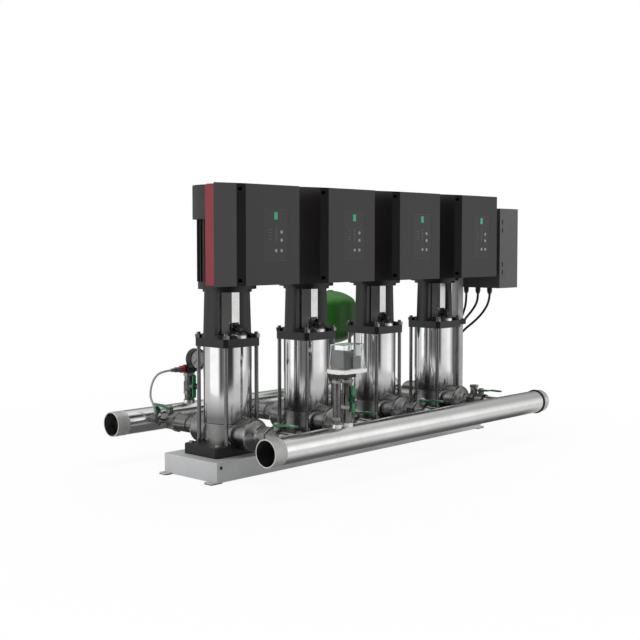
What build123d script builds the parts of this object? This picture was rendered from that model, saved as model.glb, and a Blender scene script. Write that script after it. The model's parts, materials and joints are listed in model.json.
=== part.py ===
from build123d import *
import os
from math import atan2, degrees, pi, radians, tan

os.makedirs("parts", exist_ok=True)

# Booster pump set: four upright multistage pumps on one base frame, between two manifolds.
# Millimetres. X runs along the manifolds, +Y towards the suction side, Z up from the floor.
# The origin is on the floor, at the middle of the four foot holes.

# Set
pump_count = 4
pump_spacing = 390
first_pump_from_end = 170
last_pump_from_end = 150
floor_pad = 3
free_gap = 0.3
running_gap = 0.05

# Base frame
frame_width = 270
frame_height = 67
frame_sheet = 3
frame_lip = 22
foot_length = 24
foot_width = 36
foot_thickness = 4
foot_hole_radius = 5
foot_hole_out = 13
lifting_hole_radius = 6

# Pump base and port housing
base_half_x = 128
base_half_y = 86
base_height = 35
base_chamfer = 8
base_bolt_x = 108
base_bolt_y = 66
base_bolt_radius = 5
port_above_base = 36
housing_radius = 80
housing_height = 71
housing_rim = 6
housing_floor = 10
inlet_chamber_radius = 46
outlet_ring_inner = 60
outlet_ring_outer = 74
flare_radius = 56
flare_straight_end = 132
flare_end = 172
neck_radius = 28
neck_bore = 24

# Pump body
sleeve_radius = 83.3
sleeve_wall = 2
sleeve_height = 260
stage_count = 5
stage_radius = 70
stage_wall = 2
stage_floor = 3
stage_eye_radius = 31
head_half = 83
head_thickness = 29
head_chamfer = 12
head_bore_gap = 2
stay_bolt_offset = 70
stay_bolt_radius = 7
stay_socket_depth = 15
stay_nut_height = 12
stay_nut_flats = 22
shaft_radius = 10
seal_radius = 30
seal_height = 26

# Vent plug on the pump head
vent_offset = 58
vent_boss_radius = 28
vent_boss_height = 19
vent_plug_radius = 15
vent_plug_height = 28

# Motor stool and coupling guard
stool_height = 179
stool_bottom_radius = 90
stool_top_radius = 84
stool_flange_radius = 100
stool_flange = 12
stool_bore = 72
column_half_width = 29
vent_opening = 72
window_top_rim = 22
guard_sheet = 1.5
guard_half = 42
guard_notch = 32
guard_slit = 2
coupling_radius = 27
coupling_length = 96
coupling_slit = 1

# Motor
motor_radius = 103
motor_fin_depth = 5
motor_fin_count = 28
motor_fin_thickness = 3
motor_wall = 8
motor_flange = 13
motor_height = 211
end_shield = 12
motor_shaft_radius = 14
bearing_outer = 30
bearing_length = 10
rotor_core_radius = 50
rotor_air_gap = 0.5
core_length = 140
winding_overhang = 15
fan_cover_radius = 117
fan_cover_height = 115
fan_cover_sheet = 2
fan_radius = 96
fan_hub_radius = 24
fan_blade_height = 26
fan_blade_count = 8
fan_slot_count = 24

# Drive box on the motor
drive_front_y = -226.6
drive_seam_y = -101.4
drive_back_y = -55.4
cover_half_back = 148.9
cover_half_front = 143.4
cover_corner = 21
cover_bow = 3
cover_above_fan = 3
cover_front_rise = 6.5
cover_front_drop = 8
cover_wall = 3
band_inset = 3
band_wall = 5
band_corner = 10
casing_wall = 4
display_width = 110
display_height = 168
display_mid_x = 11.5
display_mid_z = 813.5
display_thickness = 1.5
drive_screw_radius = 6
drive_screw_inset = 17
board_width = 250
board_height = 186
board_thickness = 2
board_stand_off = 10
board_post_radius = 5

# Valves, unions and check valves
discharge_valve_y = -240
suction_valve_y = 318
valve_length = 57
valve_radius = 31
valve_hex_flats = 56
valve_hex_length = 13
valve_bore = 19
ball_radius = 25.7
seat_thickness = 7
stem_radius = 6
bonnet_radius = 12
bonnet_top = 41
tang_height = 4
lever_length = 97
lever_width = 20
lever_thickness = 5
lever_hub_radius = 14
lever_hub_height = 9
lever_rise = 3
union_flats = 64
union_length = 30
discharge_union_length = 24
check_radius = 31
check_length = 62
check_seat = 5
check_travel = 10
disc_radius = 20
disc_thickness = 4
disc_stem_radius = 3

# Manifolds
manifold_radius = 44.45
manifold_wall = 2.9
manifold_offset = 397
manifold_left_overhang = 32
manifold_right_overhang = 3
end_piece_length = 167
stub_radius = 26
stub_bore = 22
weld_collar = 4
groove_from_end = 34
groove_width = 7
groove_depth = 1.2
cap_gasket = 5
cap_length = 41
cap_wall = 5

# Suction side instruments
gauge_branch_from_pump = 160
gauge_branch_radius = 18
branch_bore = 9
gauge_branch_top = 298
cross_height = 28
cross_half_width = 20
handle_span = 90
handle_width = 16
handle_thickness = 5
handle_hub_radius = 13
suction_cock_z = 246
discharge_cock_z = 273
cock_stem_radius = 4
cock_barrel_height = 34
cock_boss_radius = 13
cock_boss_length = 8
gauge_radius = 39
gauge_depth = 32
gauge_forward = 40
gauge_mid_z = 352
gauge_neck_radius = 7
dial_radius = 35
needle_length = 28
needle_tail = 6
needle_half_width = 1.4
needle_tip_half_width = 0.3
needle_pivot_radius = 1.5
sensor_collar_radius = 14
sensor_collar_length = 13
sensor_body_radius = 10
sensor_body_length = 44
probe_from_pump = 55
probe_z = 151
probe_radius = 11
probe_reach = 34
probe_outlet_radius = 7
probe_outlet_height = 6
sensor_cable_radius = 4

# Discharge side instruments
switch_branch_from_pump = 173
switch_branch_radius = 17
switch_branch_top = 345
second_tube_offset = -50
second_tube_radius = 13
plate_thickness = 15
plate_length = 84
plate_width = 50
switch_length = 111
switch_width = 80
switch_base_height = 12
switch_cover_height = 83
switch_cover_draft = 5
switch_cover_wall = 2
switch_spring_radius = 6
adjuster_radius = 4
adjuster_from_edge = 9
terminal_block_width = 28
terminal_block_x = -29

# Diaphragm tank
tank_from_pump = 173
tank_radius = 110
tank_bottom = 355
tank_top = 583
tank_dome = 65
tank_knuckle = 45
tank_wall = 3
tank_seam_height = 8
tank_seam_proud = 1
tank_valve_radius = 12
tank_valve_height = 4
tank_pipe_radius = 13
diaphragm_thickness = 3

# Post, cabinet and cables
post_size = 35
post_front_y = -14
post_wall = 3
post_top = 905
cabinet_depth = 135
cabinet_front_y = -200
cabinet_back_y = 45
cabinet_bottom = 598
cabinet_top = 933
cabinet_sheet = 2
door_thickness = 7
door_sheet = 2
hinge_radius = 5
hinge_pin_radius = 2.5
hinge_leaf = 20
screen_width = 120
screen_height = 90
screen_proud = 3
lock_radius = 10
lock_length = 5
latch_slot_width = 6
latch_slot_height = 20
hinge_from_end = 50
mount_plate_gap = 12
device_depth = 55
device_width = 36
gland_from_post = 30
gland_radius = 11
gland_height = 26
gland_places = (-9, -70, -130)
power_cable_radius = 5
duct_width = 55
duct_depth = 40
duct_bottom = 90
duct_top = 330
duct_wall = 2
duct_seal_depth = 30
duct_seal_thickness = 8
clip_height = 24
clip_depth = 9
clip_z = 450

# Levels up the pump, each from the one below it
frame_top = floor_pad + frame_height
base_top = frame_top + base_height
port_z = base_top + port_above_base
sleeve_bottom = base_top + housing_height
head_bottom = sleeve_bottom + sleeve_height
head_top = head_bottom + head_thickness
stool_top = head_top + stool_height
motor_bottom = stool_top
barrel_bottom = motor_bottom + motor_flange
motor_top = barrel_bottom + motor_height
fan_cover_top = motor_top + fan_cover_height
cover_bottom_back = motor_bottom
cover_bottom_front = cover_bottom_back + cover_front_rise
cover_top_back = fan_cover_top + cover_above_fan
cover_top_front = cover_top_back - cover_front_drop
stage_height = sleeve_height / stage_count
frame_length = first_pump_from_end + (pump_count - 1) * pump_spacing + last_pump_from_end
frame_right = frame_length / 2
manifold_left = -frame_right - manifold_left_overhang
manifold_right = frame_right + manifold_right_overhang
post_x = frame_right + post_size / 2
cabinet_left = frame_right + post_size
cabinet_right = cabinet_left + cabinet_depth
gland_x = cabinet_left + gland_from_post

pump_xs = [first_pump_from_end - frame_right + i * pump_spacing for i in range(pump_count)]
gauge_branch_x = pump_xs[0] + gauge_branch_from_pump
probe_x = pump_xs[0] - probe_from_pump
switch_branch_x = pump_xs[0] + switch_branch_from_pump
tank_x = pump_xs[-2] + tank_from_pump
pump_spots = [Location((x, 0, 0)) for x in pump_xs]
four_ways = [(sx, sy) for sx in (-1, 1) for sy in (-1, 1)]
on_bottom = (Align.CENTER, Align.CENTER, Align.MIN)
hub_down = (Align.CENTER, Align.CENTER, Align.MAX)


def turned(points, plane=Plane.XZ, axis=Axis.Z, arc=360):
    """A turned solid: a closed outline of (radius, height) points, spun about an axis."""
    with BuildPart() as solid:
        with BuildSketch(plane):
            with BuildLine():
                Polyline(*points, close=True)
            make_face()
        revolve(axis=axis, revolution_arc=arc)
    return solid.part


def ring(inner, outer, bottom, top):
    """An upright ring, or a disc where the inner radius is zero."""
    return turned([(inner, bottom), (outer, bottom), (outer, top), (inner, top)])


def ring_along_y(inner, outer, start, end):
    """A ring whose axis is the Y axis."""
    corners = [(inner, start), (outer, start), (outer, end), (inner, end)]
    return turned(corners, Plane.XY, Axis.Y)


def separate(spots, *parts):
    """The solids of one node: every piece copied to every spot, side by side and never fused."""
    solids = [solid for part in parts for solid in part.solids()]
    return Compound([solid.moved(spot) for spot in spots for solid in solids])


# Base frame: a sheet folded to a channel with its mouth down and its lips turned in, with two end
# plates and four floor feet welded on
foot_x = frame_length / 2 + foot_hole_out
foot_y = frame_width / 2 - foot_width / 2
foot_spots = [(sx * foot_x, sy * foot_y) for sx, sy in four_ways]
bolt_spots = [(x + sx * base_bolt_x, sy * base_bolt_y) for x in pump_xs for sx, sy in four_ways]
inner_width = frame_width - 2 * frame_sheet
with BuildPart() as channel:
    with Locations((0, 0, floor_pad)):
        Box(frame_length, frame_width, frame_height, align=on_bottom)
        Box(2 * frame_length, inner_width, frame_height - frame_sheet, align=on_bottom, mode=Mode.SUBTRACT)
    with Locations(*[(0, s * (frame_width - frame_lip) / 2, floor_pad) for s in (-1, 1)]):
        Box(frame_length - 2 * frame_sheet, frame_lip, frame_sheet, align=on_bottom)
    with Locations(*[(x, y, frame_top) for x, y in bolt_spots]):
        Cylinder(base_bolt_radius + free_gap, frame_sheet, align=hub_down, mode=Mode.SUBTRACT)
    lift_x = frame_length / 2 - 3 * lifting_hole_radius
    lift_z = frame_top - 3 * lifting_hole_radius
    with Locations((-lift_x, 0, lift_z), (lift_x, 0, lift_z)):
        Cylinder(lifting_hole_radius, 2 * frame_width, rotation=(90, 0, 0), mode=Mode.SUBTRACT)
with BuildPart() as end_plate:
    Box(frame_sheet, inner_width, frame_height - frame_sheet, align=on_bottom)
with BuildPart() as foot:
    Box(foot_length, foot_width, foot_thickness, align=on_bottom)
    with Locations((foot_hole_out - foot_length / 2, 0)):
        Cylinder(foot_hole_radius, 3 * foot_thickness, mode=Mode.SUBTRACT)
plate_x = (frame_length - frame_sheet) / 2
plate_spots = [Location((sx * plate_x, 0, floor_pad)) for sx in (-1, 1)]
foot_mid_x = (frame_length + foot_length) / 2
foot_places = [Location((foot_mid_x, sy * foot_y, floor_pad)) for sy in (-1, 1)]
foot_places += [Location((-foot_mid_x, sy * foot_y, floor_pad), (0, 0, 180)) for sy in (-1, 1)]
base_frame = Compound(
    channel.part.solids()
    + separate(plate_spots, end_plate.part).solids()
    + separate(foot_places, foot.part).solids()
)
base_frame.label = "base_frame"
export_step(base_frame, "parts/base_frame.step")

# Rubber floor pads, one under each foot and frame corner
with BuildPart() as floor_pads:
    pad_length = 2 * foot_length
    pad_x = frame_length / 2 + foot_length - pad_length / 2
    with Locations(*[(sx * pad_x, sy * foot_y, 0) for sx, sy in four_ways]):
        Box(pad_length, foot_width, floor_pad, align=on_bottom)
    with Locations(*[(x, y, 0) for x, y in foot_spots]):
        Cylinder(foot_hole_radius, floor_pad, align=on_bottom, mode=Mode.SUBTRACT)
floor_pads.part.label = "floor_pads"
export_step(floor_pads.part, "parts/floor_pads.step")

# Hexagon bolts and nuts that hold each pump's base plate on the frame
bolt_head = 1.3 * base_bolt_radius
with BuildPart() as base_bolt:
    with BuildSketch(Plane.XY.offset(base_top)):
        RegularPolygon(1.7 * base_bolt_radius, 6, major_radius=False)
    extrude(amount=bolt_head)
    bolt_end = frame_top - frame_sheet - 2 * base_bolt_radius
    with Locations((0, 0, bolt_end)):
        Cylinder(base_bolt_radius, base_top - bolt_end, align=on_bottom)
with BuildPart() as base_nut:
    with BuildSketch(Plane.XY.offset(frame_top - frame_sheet)):
        RegularPolygon(1.7 * base_bolt_radius, 6, major_radius=False)
        Circle(base_bolt_radius, mode=Mode.SUBTRACT)
    extrude(amount=-1.6 * base_bolt_radius)
base_bolts = separate([Location((x, y, 0)) for x, y in bolt_spots], base_bolt.part, base_nut.part)
base_bolts.label = "base_bolts"
export_step(base_bolts, "parts/base_bolts.step")

# Cast iron base plate under each pump, with sockets for the stay bolts
stay_spots = [(sx * stay_bolt_offset, sy * stay_bolt_offset) for sx, sy in four_ways]
with BuildPart() as base_plate:
    with Locations((0, 0, frame_top)):
        Box(2 * base_half_x, 2 * base_half_y, base_height, align=on_bottom)
    chamfer(base_plate.edges().filter_by(Axis.Z), base_chamfer)
    chamfer(base_plate.faces().sort_by(Axis.Z)[-1].edges(), base_chamfer / 4)
    with Locations(*[(x, y, base_top) for x, y in stay_spots]):
        Hole(stay_bolt_radius, depth=stay_socket_depth)
    with Locations(*[(sx * base_bolt_x, sy * base_bolt_y, base_top) for sx, sy in four_ways]):
        Hole(base_bolt_radius + free_gap)
pump_base_plates = separate(pump_spots, base_plate.part)
pump_base_plates.label = "pump_base_plates"
export_step(pump_base_plates, "parts/pump_base_plates.step")

# Stainless port housing: inlet chamber in the middle, outlet ring round it, a flared port each way
discharge_neck_end = -discharge_valve_y - valve_length / 2
suction_neck_end = suction_valve_y - valve_length / 2 - union_length - check_length
ring_arc = 240
with BuildPart() as port_housing:
    with Locations((0, 0, base_top)):
        Cylinder(housing_radius, housing_height, align=on_bottom)
    add(ring(0, sleeve_radius, sleeve_bottom - housing_rim, sleeve_bottom))
    for side, neck_end in ((-1, discharge_neck_end), (1, suction_neck_end)):
        with BuildSketch(Plane.XY.offset(port_z)):
            with BuildLine():
                straight_end = side * flare_straight_end
                Polyline((0, 0), (flare_radius, 0), (flare_radius, straight_end))
                flare_mid = ((flare_radius + neck_radius) / 2, side * (flare_straight_end + flare_end) / 2)
                Spline(
                    (flare_radius, straight_end),
                    flare_mid,
                    (neck_radius, side * flare_end),
                    tangents=[(0, side), (0, side)],
                )
                Polyline((neck_radius, side * flare_end), (neck_radius, side * neck_end), (0, side * neck_end))
                Line((0, side * neck_end), (0, 0))
            make_face()
        revolve(axis=Axis((0, 0, port_z), (0, 1, 0)))
    with Locations((0, 0, sleeve_bottom)):
        Cylinder(sleeve_radius + free_gap, 2 * flare_radius, align=on_bottom, mode=Mode.SUBTRACT)
    with Locations((0, 0, base_top)):
        under = (2 * base_half_x, 2 * (base_half_y + free_gap), 2 * flare_radius)
        Box(*under, align=hub_down, mode=Mode.SUBTRACT)
    chamber_floor = base_top + housing_floor
    add(ring(0, inlet_chamber_radius, chamber_floor, sleeve_bottom), mode=Mode.SUBTRACT)
    ring_floor = port_z - neck_bore
    ring_corners = [
        (outlet_ring_inner, ring_floor),
        (outlet_ring_outer, ring_floor),
        (outlet_ring_outer, sleeve_bottom),
        (outlet_ring_inner, sleeve_bottom),
    ]
    first_plane = Plane.XZ.rotated((0, 0, -90 - ring_arc / 2))
    add(turned(ring_corners, first_plane, arc=ring_arc), mode=Mode.SUBTRACT)
    with Locations(Location((0, suction_neck_end, port_z), (90, 0, 0))):
        inlet_depth = suction_neck_end - inlet_chamber_radius / 2
        Cylinder(neck_bore, inlet_depth, align=on_bottom, mode=Mode.SUBTRACT)
    with Locations(Location((0, -discharge_neck_end, port_z), (-90, 0, 0))):
        outlet_depth = discharge_neck_end - (outlet_ring_inner + outlet_ring_outer) / 2
        Cylinder(neck_bore, outlet_depth, align=on_bottom, mode=Mode.SUBTRACT)
port_housings = separate(pump_spots, port_housing.part)
port_housings.label = "port_housings"
export_step(port_housings, "parts/port_housings.step")

# Polished outer sleeve round the stages
sleeve = ring(sleeve_radius - sleeve_wall, sleeve_radius, sleeve_bottom, head_bottom)
pump_sleeves = separate(pump_spots, sleeve)
pump_sleeves.label = "pump_sleeves"
export_step(pump_sleeves, "parts/pump_sleeves.step")

# Stage chambers: cups stacked face to face, each with an eye for the water and vanes on its wall
stages = []
for level in range(stage_count):
    stage_bottom = sleeve_bottom + level * stage_height
    stages.append(
        turned(
            [
                (stage_eye_radius, stage_bottom),
                (stage_radius, stage_bottom),
                (stage_radius, stage_bottom + stage_height),
                (stage_radius - stage_wall, stage_bottom + stage_height),
                (stage_radius - stage_wall, stage_bottom + stage_floor),
                (stage_eye_radius, stage_bottom + stage_floor),
            ]
        )
    )
stage_chambers = separate(pump_spots, *stages)
stage_chambers.label = "stage_chambers"
export_step(stage_chambers, "parts/stage_chambers.step")

# Pump head: square cast plate that the stay bolts clamp down on the sleeve
with BuildPart() as head:
    with Locations((0, 0, head_bottom)):
        Box(2 * head_half, 2 * head_half, head_thickness, align=on_bottom)
    chamfer(head.edges().filter_by(Axis.Z), head_chamfer)
    with Locations((0, 0, head_top)):
        Hole(shaft_radius + head_bore_gap)
    with Locations(*[(x, y, head_top) for x, y in stay_spots]):
        Hole(stay_bolt_radius + free_gap)
pump_heads = separate(pump_spots, head.part)
pump_heads.label = "pump_heads"
export_step(pump_heads, "parts/pump_heads.step")

# Stay bolts from the base plate through the head, with their nuts
with BuildPart() as stay_bolt:
    stay_start = base_top - stay_socket_depth
    with Locations((0, 0, stay_start)):
        stay_reach = head_top + stay_nut_height + stay_bolt_radius - stay_start
        Cylinder(stay_bolt_radius, stay_reach, align=on_bottom)
with BuildPart() as stay_nut:
    with BuildSketch(Plane.XY.offset(head_top)):
        RegularPolygon(stay_nut_flats / 2, 6, major_radius=False)
        Circle(stay_bolt_radius, mode=Mode.SUBTRACT)
    extrude(amount=stay_nut_height)
stay_places = [spot * Location((x, y, 0)) for spot in pump_spots for x, y in stay_spots]
stay_bolts = separate(stay_places, stay_bolt.part, stay_nut.part)
stay_bolts.label = "stay_bolts"
export_step(stay_bolts, "parts/stay_bolts.step")

# Still rings on the shafts: the seal on the pump head and the two bearings of each motor
top_shield_bottom = motor_top - end_shield
shaft_hole = shaft_radius + running_gap
motor_shaft_hole = motor_shaft_radius + running_gap
seal = turned(
    [
        (shaft_hole, head_top),
        (seal_radius, head_top),
        (seal_radius, head_top + 0.6 * seal_height),
        (0.7 * seal_radius, head_top + seal_height),
        (shaft_hole, head_top + seal_height),
    ]
)
lower_bearing = ring(motor_shaft_hole, bearing_outer, barrel_bottom - bearing_length, barrel_bottom)
upper_bearing = ring(motor_shaft_hole, bearing_outer, top_shield_bottom, top_shield_bottom + bearing_length)
seals_and_bearings = separate(pump_spots, seal, lower_bearing, upper_bearing)
seals_and_bearings.label = "seals_and_bearings"
export_step(seals_and_bearings, "parts/seals_and_bearings.step")

# Vent: a domed boss on the head with a black screw plug in it
with BuildPart() as vent_boss:
    with BuildSketch(Plane.XZ.offset(vent_offset)):
        with BuildLine():
            dome_start = head_top + vent_boss_height / 2
            Polyline((0, head_top), (vent_boss_radius, head_top), (vent_boss_radius, dome_start))
            ThreePointArc(
                (vent_boss_radius, dome_start),
                (0.8 * vent_boss_radius, head_top + 0.85 * vent_boss_height),
                (0.5 * vent_boss_radius, head_top + vent_boss_height),
            )
            Polyline((0.5 * vent_boss_radius, head_top + vent_boss_height), (0, head_top + vent_boss_height))
            Line((0, head_top + vent_boss_height), (0, head_top))
        make_face()
    revolve(axis=Axis((0, -vent_offset, 0), (0, 0, 1)))
with BuildPart() as vent_plug:
    plug_bottom = head_top + vent_boss_height
    with BuildSketch(Plane.XY.offset(plug_bottom)):
        with Locations((0, -vent_offset)):
            RegularPolygon(vent_plug_radius, 6)
    extrude(amount=0.6 * vent_plug_height)
    with Locations((0, -vent_offset, plug_bottom + 0.6 * vent_plug_height)):
        Cone(0.8 * vent_plug_radius, 0.5 * vent_plug_radius, 0.4 * vent_plug_height, align=on_bottom)
vent_plugs = separate(pump_spots, vent_boss.part, vent_plug.part)
vent_plugs.label = "vent_plugs"
export_step(vent_plugs, "parts/vent_plugs.step")

# Motor stool: a cast ring at the foot and one at the top, on a broad column each side, with a wide
# window in front and behind and a gap in the foot for the vent
with BuildPart() as stool:
    add(
        turned(
            [
                (stool_bore, head_top),
                (stool_bottom_radius, head_top),
                (stool_top_radius, stool_top - stool_flange),
                (stool_flange_radius, stool_top - stool_flange),
                (stool_flange_radius, stool_top),
                (stool_bore, stool_top),
            ]
        )
    )
    sill = head_top + stool_flange
    window_height = stool_top - window_top_rim - sill
    window = (3 * stool_flange_radius, 2 * stool_flange_radius, window_height)
    window_y = column_half_width + stool_flange_radius
    with Locations((0, -window_y, sill), (0, window_y, sill)):
        Box(*window, align=on_bottom, mode=Mode.SUBTRACT)
    with Locations((0, -stool_bottom_radius, head_top)):
        Box(vent_opening, stool_bottom_radius, stool_flange, align=on_bottom, mode=Mode.SUBTRACT)
    with Locations(*[(x, y, head_top) for x, y in stay_spots]):
        Cylinder(0.75 * stay_nut_flats, 2 * stay_nut_height, align=on_bottom, mode=Mode.SUBTRACT)
motor_stools = separate(pump_spots, stool.part)
motor_stools.label = "motor_stools"
export_step(motor_stools, "parts/motor_stools.step")

# Coupling guard: two folded stainless shells round the coupling, cut out at the foot for the vent
with BuildPart() as guard:
    guard_top = stool_top - window_top_rim / 2
    with BuildSketch(Plane.XY.offset(head_top)):
        RegularPolygon(guard_half, 8, major_radius=False, rotation=22.5)
        RegularPolygon(guard_half - guard_sheet, 8, major_radius=False, rotation=22.5, mode=Mode.SUBTRACT)
    extrude(amount=guard_top - head_top)
    with Locations((0, 0, guard_top)):
        Box(3 * guard_half, guard_slit, 3 * stool_height, mode=Mode.SUBTRACT)
    with Locations((0, -stool_bore, head_top)):
        notch_height = vent_boss_height + 1.2 * vent_plug_height
        Box(2 * guard_notch, stool_bore, notch_height, align=on_bottom, mode=Mode.SUBTRACT)
coupling_guards = separate(pump_spots, guard.part)
coupling_guards.label = "coupling_guards"
export_step(coupling_guards, "parts/coupling_guards.step")

# Motor housing: flanged barrel with cooling fins, and the end shield at its top
barrel_bore = motor_radius - motor_fin_depth - motor_wall
with BuildPart() as barrel:
    add(
        turned(
            [
                (bearing_outer, motor_bottom),
                (stool_flange_radius, motor_bottom),
                (stool_flange_radius, barrel_bottom),
                (motor_radius - motor_fin_depth, barrel_bottom),
                (motor_radius - motor_fin_depth, motor_top),
                (barrel_bore, motor_top),
                (barrel_bore, barrel_bottom),
                (bearing_outer, barrel_bottom),
            ]
        )
    )
    with BuildSketch(Plane.XY.offset(barrel_bottom)):
        with PolarLocations(motor_radius - motor_fin_depth, motor_fin_count):
            Rectangle(2 * motor_fin_depth, motor_fin_thickness)
        Circle(motor_radius, mode=Mode.INTERSECT)
        Circle(motor_radius - 1.5 * motor_fin_depth, mode=Mode.SUBTRACT)
    extrude(amount=motor_height)
top_shield = ring(bearing_outer, barrel_bore, top_shield_bottom, motor_top)
motor_housings = separate(pump_spots, barrel.part, top_shield)
motor_housings.label = "motor_housings"
export_step(motor_housings, "parts/motor_housings.step")

# Stator: laminated core with a copper winding head at each end
core_mid = (barrel_bottom + top_shield_bottom) / 2
core_bottom = core_mid - core_length / 2
core_top = core_mid + core_length / 2
stator_bore = rotor_core_radius + rotor_air_gap
winding_inner = stator_bore + motor_fin_depth
stator_core = ring(stator_bore, barrel_bore, core_bottom, core_top)
low_winding = ring(winding_inner, barrel_bore - motor_wall, core_bottom - winding_overhang, core_bottom)
high_winding = ring(winding_inner, barrel_bore - motor_wall, core_top, core_top + winding_overhang)
stator_windings = separate(pump_spots, stator_core, low_winding, high_winding)
stator_windings.label = "stator_windings"
export_step(stator_windings, "parts/stator_windings.step")

# Fan cover with radial air slots in its top
fan_cover_bore = fan_cover_radius - fan_cover_sheet
with BuildPart() as fan_cover:
    add(
        turned(
            [
                (motor_radius, motor_top),
                (fan_cover_radius, motor_top),
                (fan_cover_radius, fan_cover_top),
                (0, fan_cover_top),
                (0, fan_cover_top - fan_cover_sheet),
                (fan_cover_bore, fan_cover_top - fan_cover_sheet),
                (fan_cover_bore, motor_top + fan_cover_sheet),
                (motor_radius, motor_top + fan_cover_sheet),
            ]
        )
    )
    with BuildSketch(Plane.XY.offset(fan_cover_top)):
        with PolarLocations(0.62 * fan_cover_radius, fan_slot_count):
            SlotOverall(0.5 * fan_cover_radius, 2.5 * fan_cover_sheet)
    extrude(amount=-fan_cover_sheet, mode=Mode.SUBTRACT)
    fillet(fan_cover.faces().sort_by(Axis.Z)[-1].edges().group_by(SortBy.LENGTH)[-1], fan_cover_sheet)
# A flat collar closes the step between the motor and its wider fan cover
with BuildPart() as cover_collar:
    add(ring(barrel_bore, motor_radius, motor_top, motor_top + fan_cover_sheet))
fan_covers = separate(pump_spots, fan_cover.part, cover_collar.part)
fan_covers.label = "fan_covers"
export_step(fan_covers, "parts/fan_covers.step")


# Drive box cover: drafted on every side, front bowed, upright front corners cut back
def cover_block(inset):
    """The cover's solid outer form, drawn in by a wall's thickness on every side."""
    front = drive_front_y + inset
    half_back = cover_half_back - inset
    half_front = cover_half_front - inset
    corner = cover_corner
    overrun = drive_seam_y + inset
    with BuildPart() as block:
        with BuildSketch(Plane.XY.offset(cover_bottom_back)):
            with BuildLine():
                Polyline((-half_front + corner, front), (-half_front, front + corner), (-half_back, overrun))
                Line((-half_back, overrun), (half_back, overrun))
                Polyline((half_back, overrun), (half_front, front + corner), (half_front - corner, front))
                ThreePointArc(
                    (half_front - corner, front), (0, front - cover_bow), (-half_front + corner, front)
                )
            make_face()
        extrude(amount=cover_top_back - cover_bottom_back)
        with BuildSketch(Plane.YZ.offset(-2 * cover_half_back)):
            with BuildLine():
                Polyline(
                    (front - 2 * cover_bow, cover_bottom_front + inset),
                    (overrun, cover_bottom_back + inset),
                    (overrun, cover_top_back - inset),
                    (front - 2 * cover_bow, cover_top_front - inset),
                    close=True,
                )
            make_face()
        extrude(amount=4 * cover_half_back, mode=Mode.INTERSECT)
    return block.part


# The motor's outer form, which the drive box is cut out to saddle
with BuildPart() as motor_form:
    with Locations((0, 0, motor_bottom)):
        Cylinder(motor_radius, motor_height + motor_flange, align=on_bottom)
    with Locations((0, 0, motor_top)):
        Cylinder(fan_cover_radius, 2 * fan_cover_height, align=on_bottom)

screw_x = cover_half_front - drive_screw_inset / 2
screw_zs = (cover_bottom_front + drive_screw_inset, cover_top_front - drive_screw_inset)
screw_spots = [(sx * screw_x, z) for sx in (-1, 1) for z in screw_zs]
screw_seat_y = drive_front_y + cover_corner + drive_screw_radius
with BuildPart() as drive_cover:
    add(cover_block(0))
    add(cover_block(cover_wall), mode=Mode.SUBTRACT)
    with BuildSketch(Plane.XZ.offset(-drive_front_y + 2 * cover_bow)):
        with Locations((display_mid_x, display_mid_z)):
            Rectangle(display_width, display_height)
    extrude(amount=-2 * cover_bow - display_thickness, mode=Mode.SUBTRACT)
    for x, z in screw_spots:
        with Locations(Location((x, screw_seat_y, z), (90, 0, 0))):
            post_reach = drive_seam_y - screw_seat_y
            Cylinder(drive_screw_radius + cover_wall, post_reach, align=hub_down)
            Cylinder(drive_screw_radius + free_gap, 3 * cover_corner, align=on_bottom, mode=Mode.SUBTRACT)
            Cylinder(drive_screw_radius / 2, 2 * post_reach, mode=Mode.SUBTRACT)
    add(motor_form.part, mode=Mode.SUBTRACT)
drive_covers = separate(pump_spots, drive_cover.part)
drive_covers.label = "drive_covers"
export_step(drive_covers, "parts/drive_covers.step")

# Keypad and display panel, let into the cover's front
with BuildPart() as display:
    with BuildSketch(Plane.XZ.offset(-drive_front_y - display_thickness)):
        with Locations((display_mid_x, display_mid_z)):
            RectangleRounded(display_width, display_height, 4)
    extrude(amount=2 * display_thickness)
drive_displays = separate(pump_spots, display.part)
drive_displays.label = "drive_displays"
export_step(drive_displays, "parts/drive_displays.step")

# Screws that hold the cover, sunk in its cut-back corners
with BuildPart() as drive_screw:
    with BuildSketch(Plane.XZ.offset(-screw_seat_y)):
        Circle(drive_screw_radius)
    extrude(amount=drive_screw_radius)
    with BuildSketch(Plane.XZ.offset(-screw_seat_y + drive_screw_radius)):
        Rectangle(1.6 * drive_screw_radius, drive_screw_radius / 4)
    extrude(amount=-drive_screw_radius / 3, mode=Mode.SUBTRACT)
    with BuildSketch(Plane.XZ.offset(-screw_seat_y)):
        Circle(drive_screw_radius / 2)
    extrude(amount=-(drive_seam_y - screw_seat_y) - drive_screw_radius)
screw_places = [spot * Location((x, 0, z)) for spot in pump_spots for x, z in screw_spots]
drive_screws = separate(screw_places, drive_screw.part)
drive_screws.label = "drive_screws"
export_step(drive_screws, "parts/drive_screws.step")

# Red band round the drive box between its cover and the motor
band_width = 2 * (cover_half_back - band_inset)
band_height = cover_top_back - cover_bottom_back - 2 * band_inset
band_mid_z = (cover_top_back + cover_bottom_back) / 2
with BuildPart() as band:
    with BuildSketch(Plane.XZ.offset(-drive_seam_y)):
        with Locations((0, band_mid_z)):
            RectangleRounded(band_width, band_height, band_corner)
            inside = (band_width - 2 * band_wall, band_height - 2 * band_wall)
            RectangleRounded(*inside, band_corner - band_wall, mode=Mode.SUBTRACT)
    extrude(amount=-(drive_back_y - drive_seam_y))
    add(motor_form.part, mode=Mode.SUBTRACT)
drive_bands = separate(pump_spots, band.part)
drive_bands.label = "drive_bands"
export_step(drive_bands, "parts/drive_bands.step")

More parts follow.
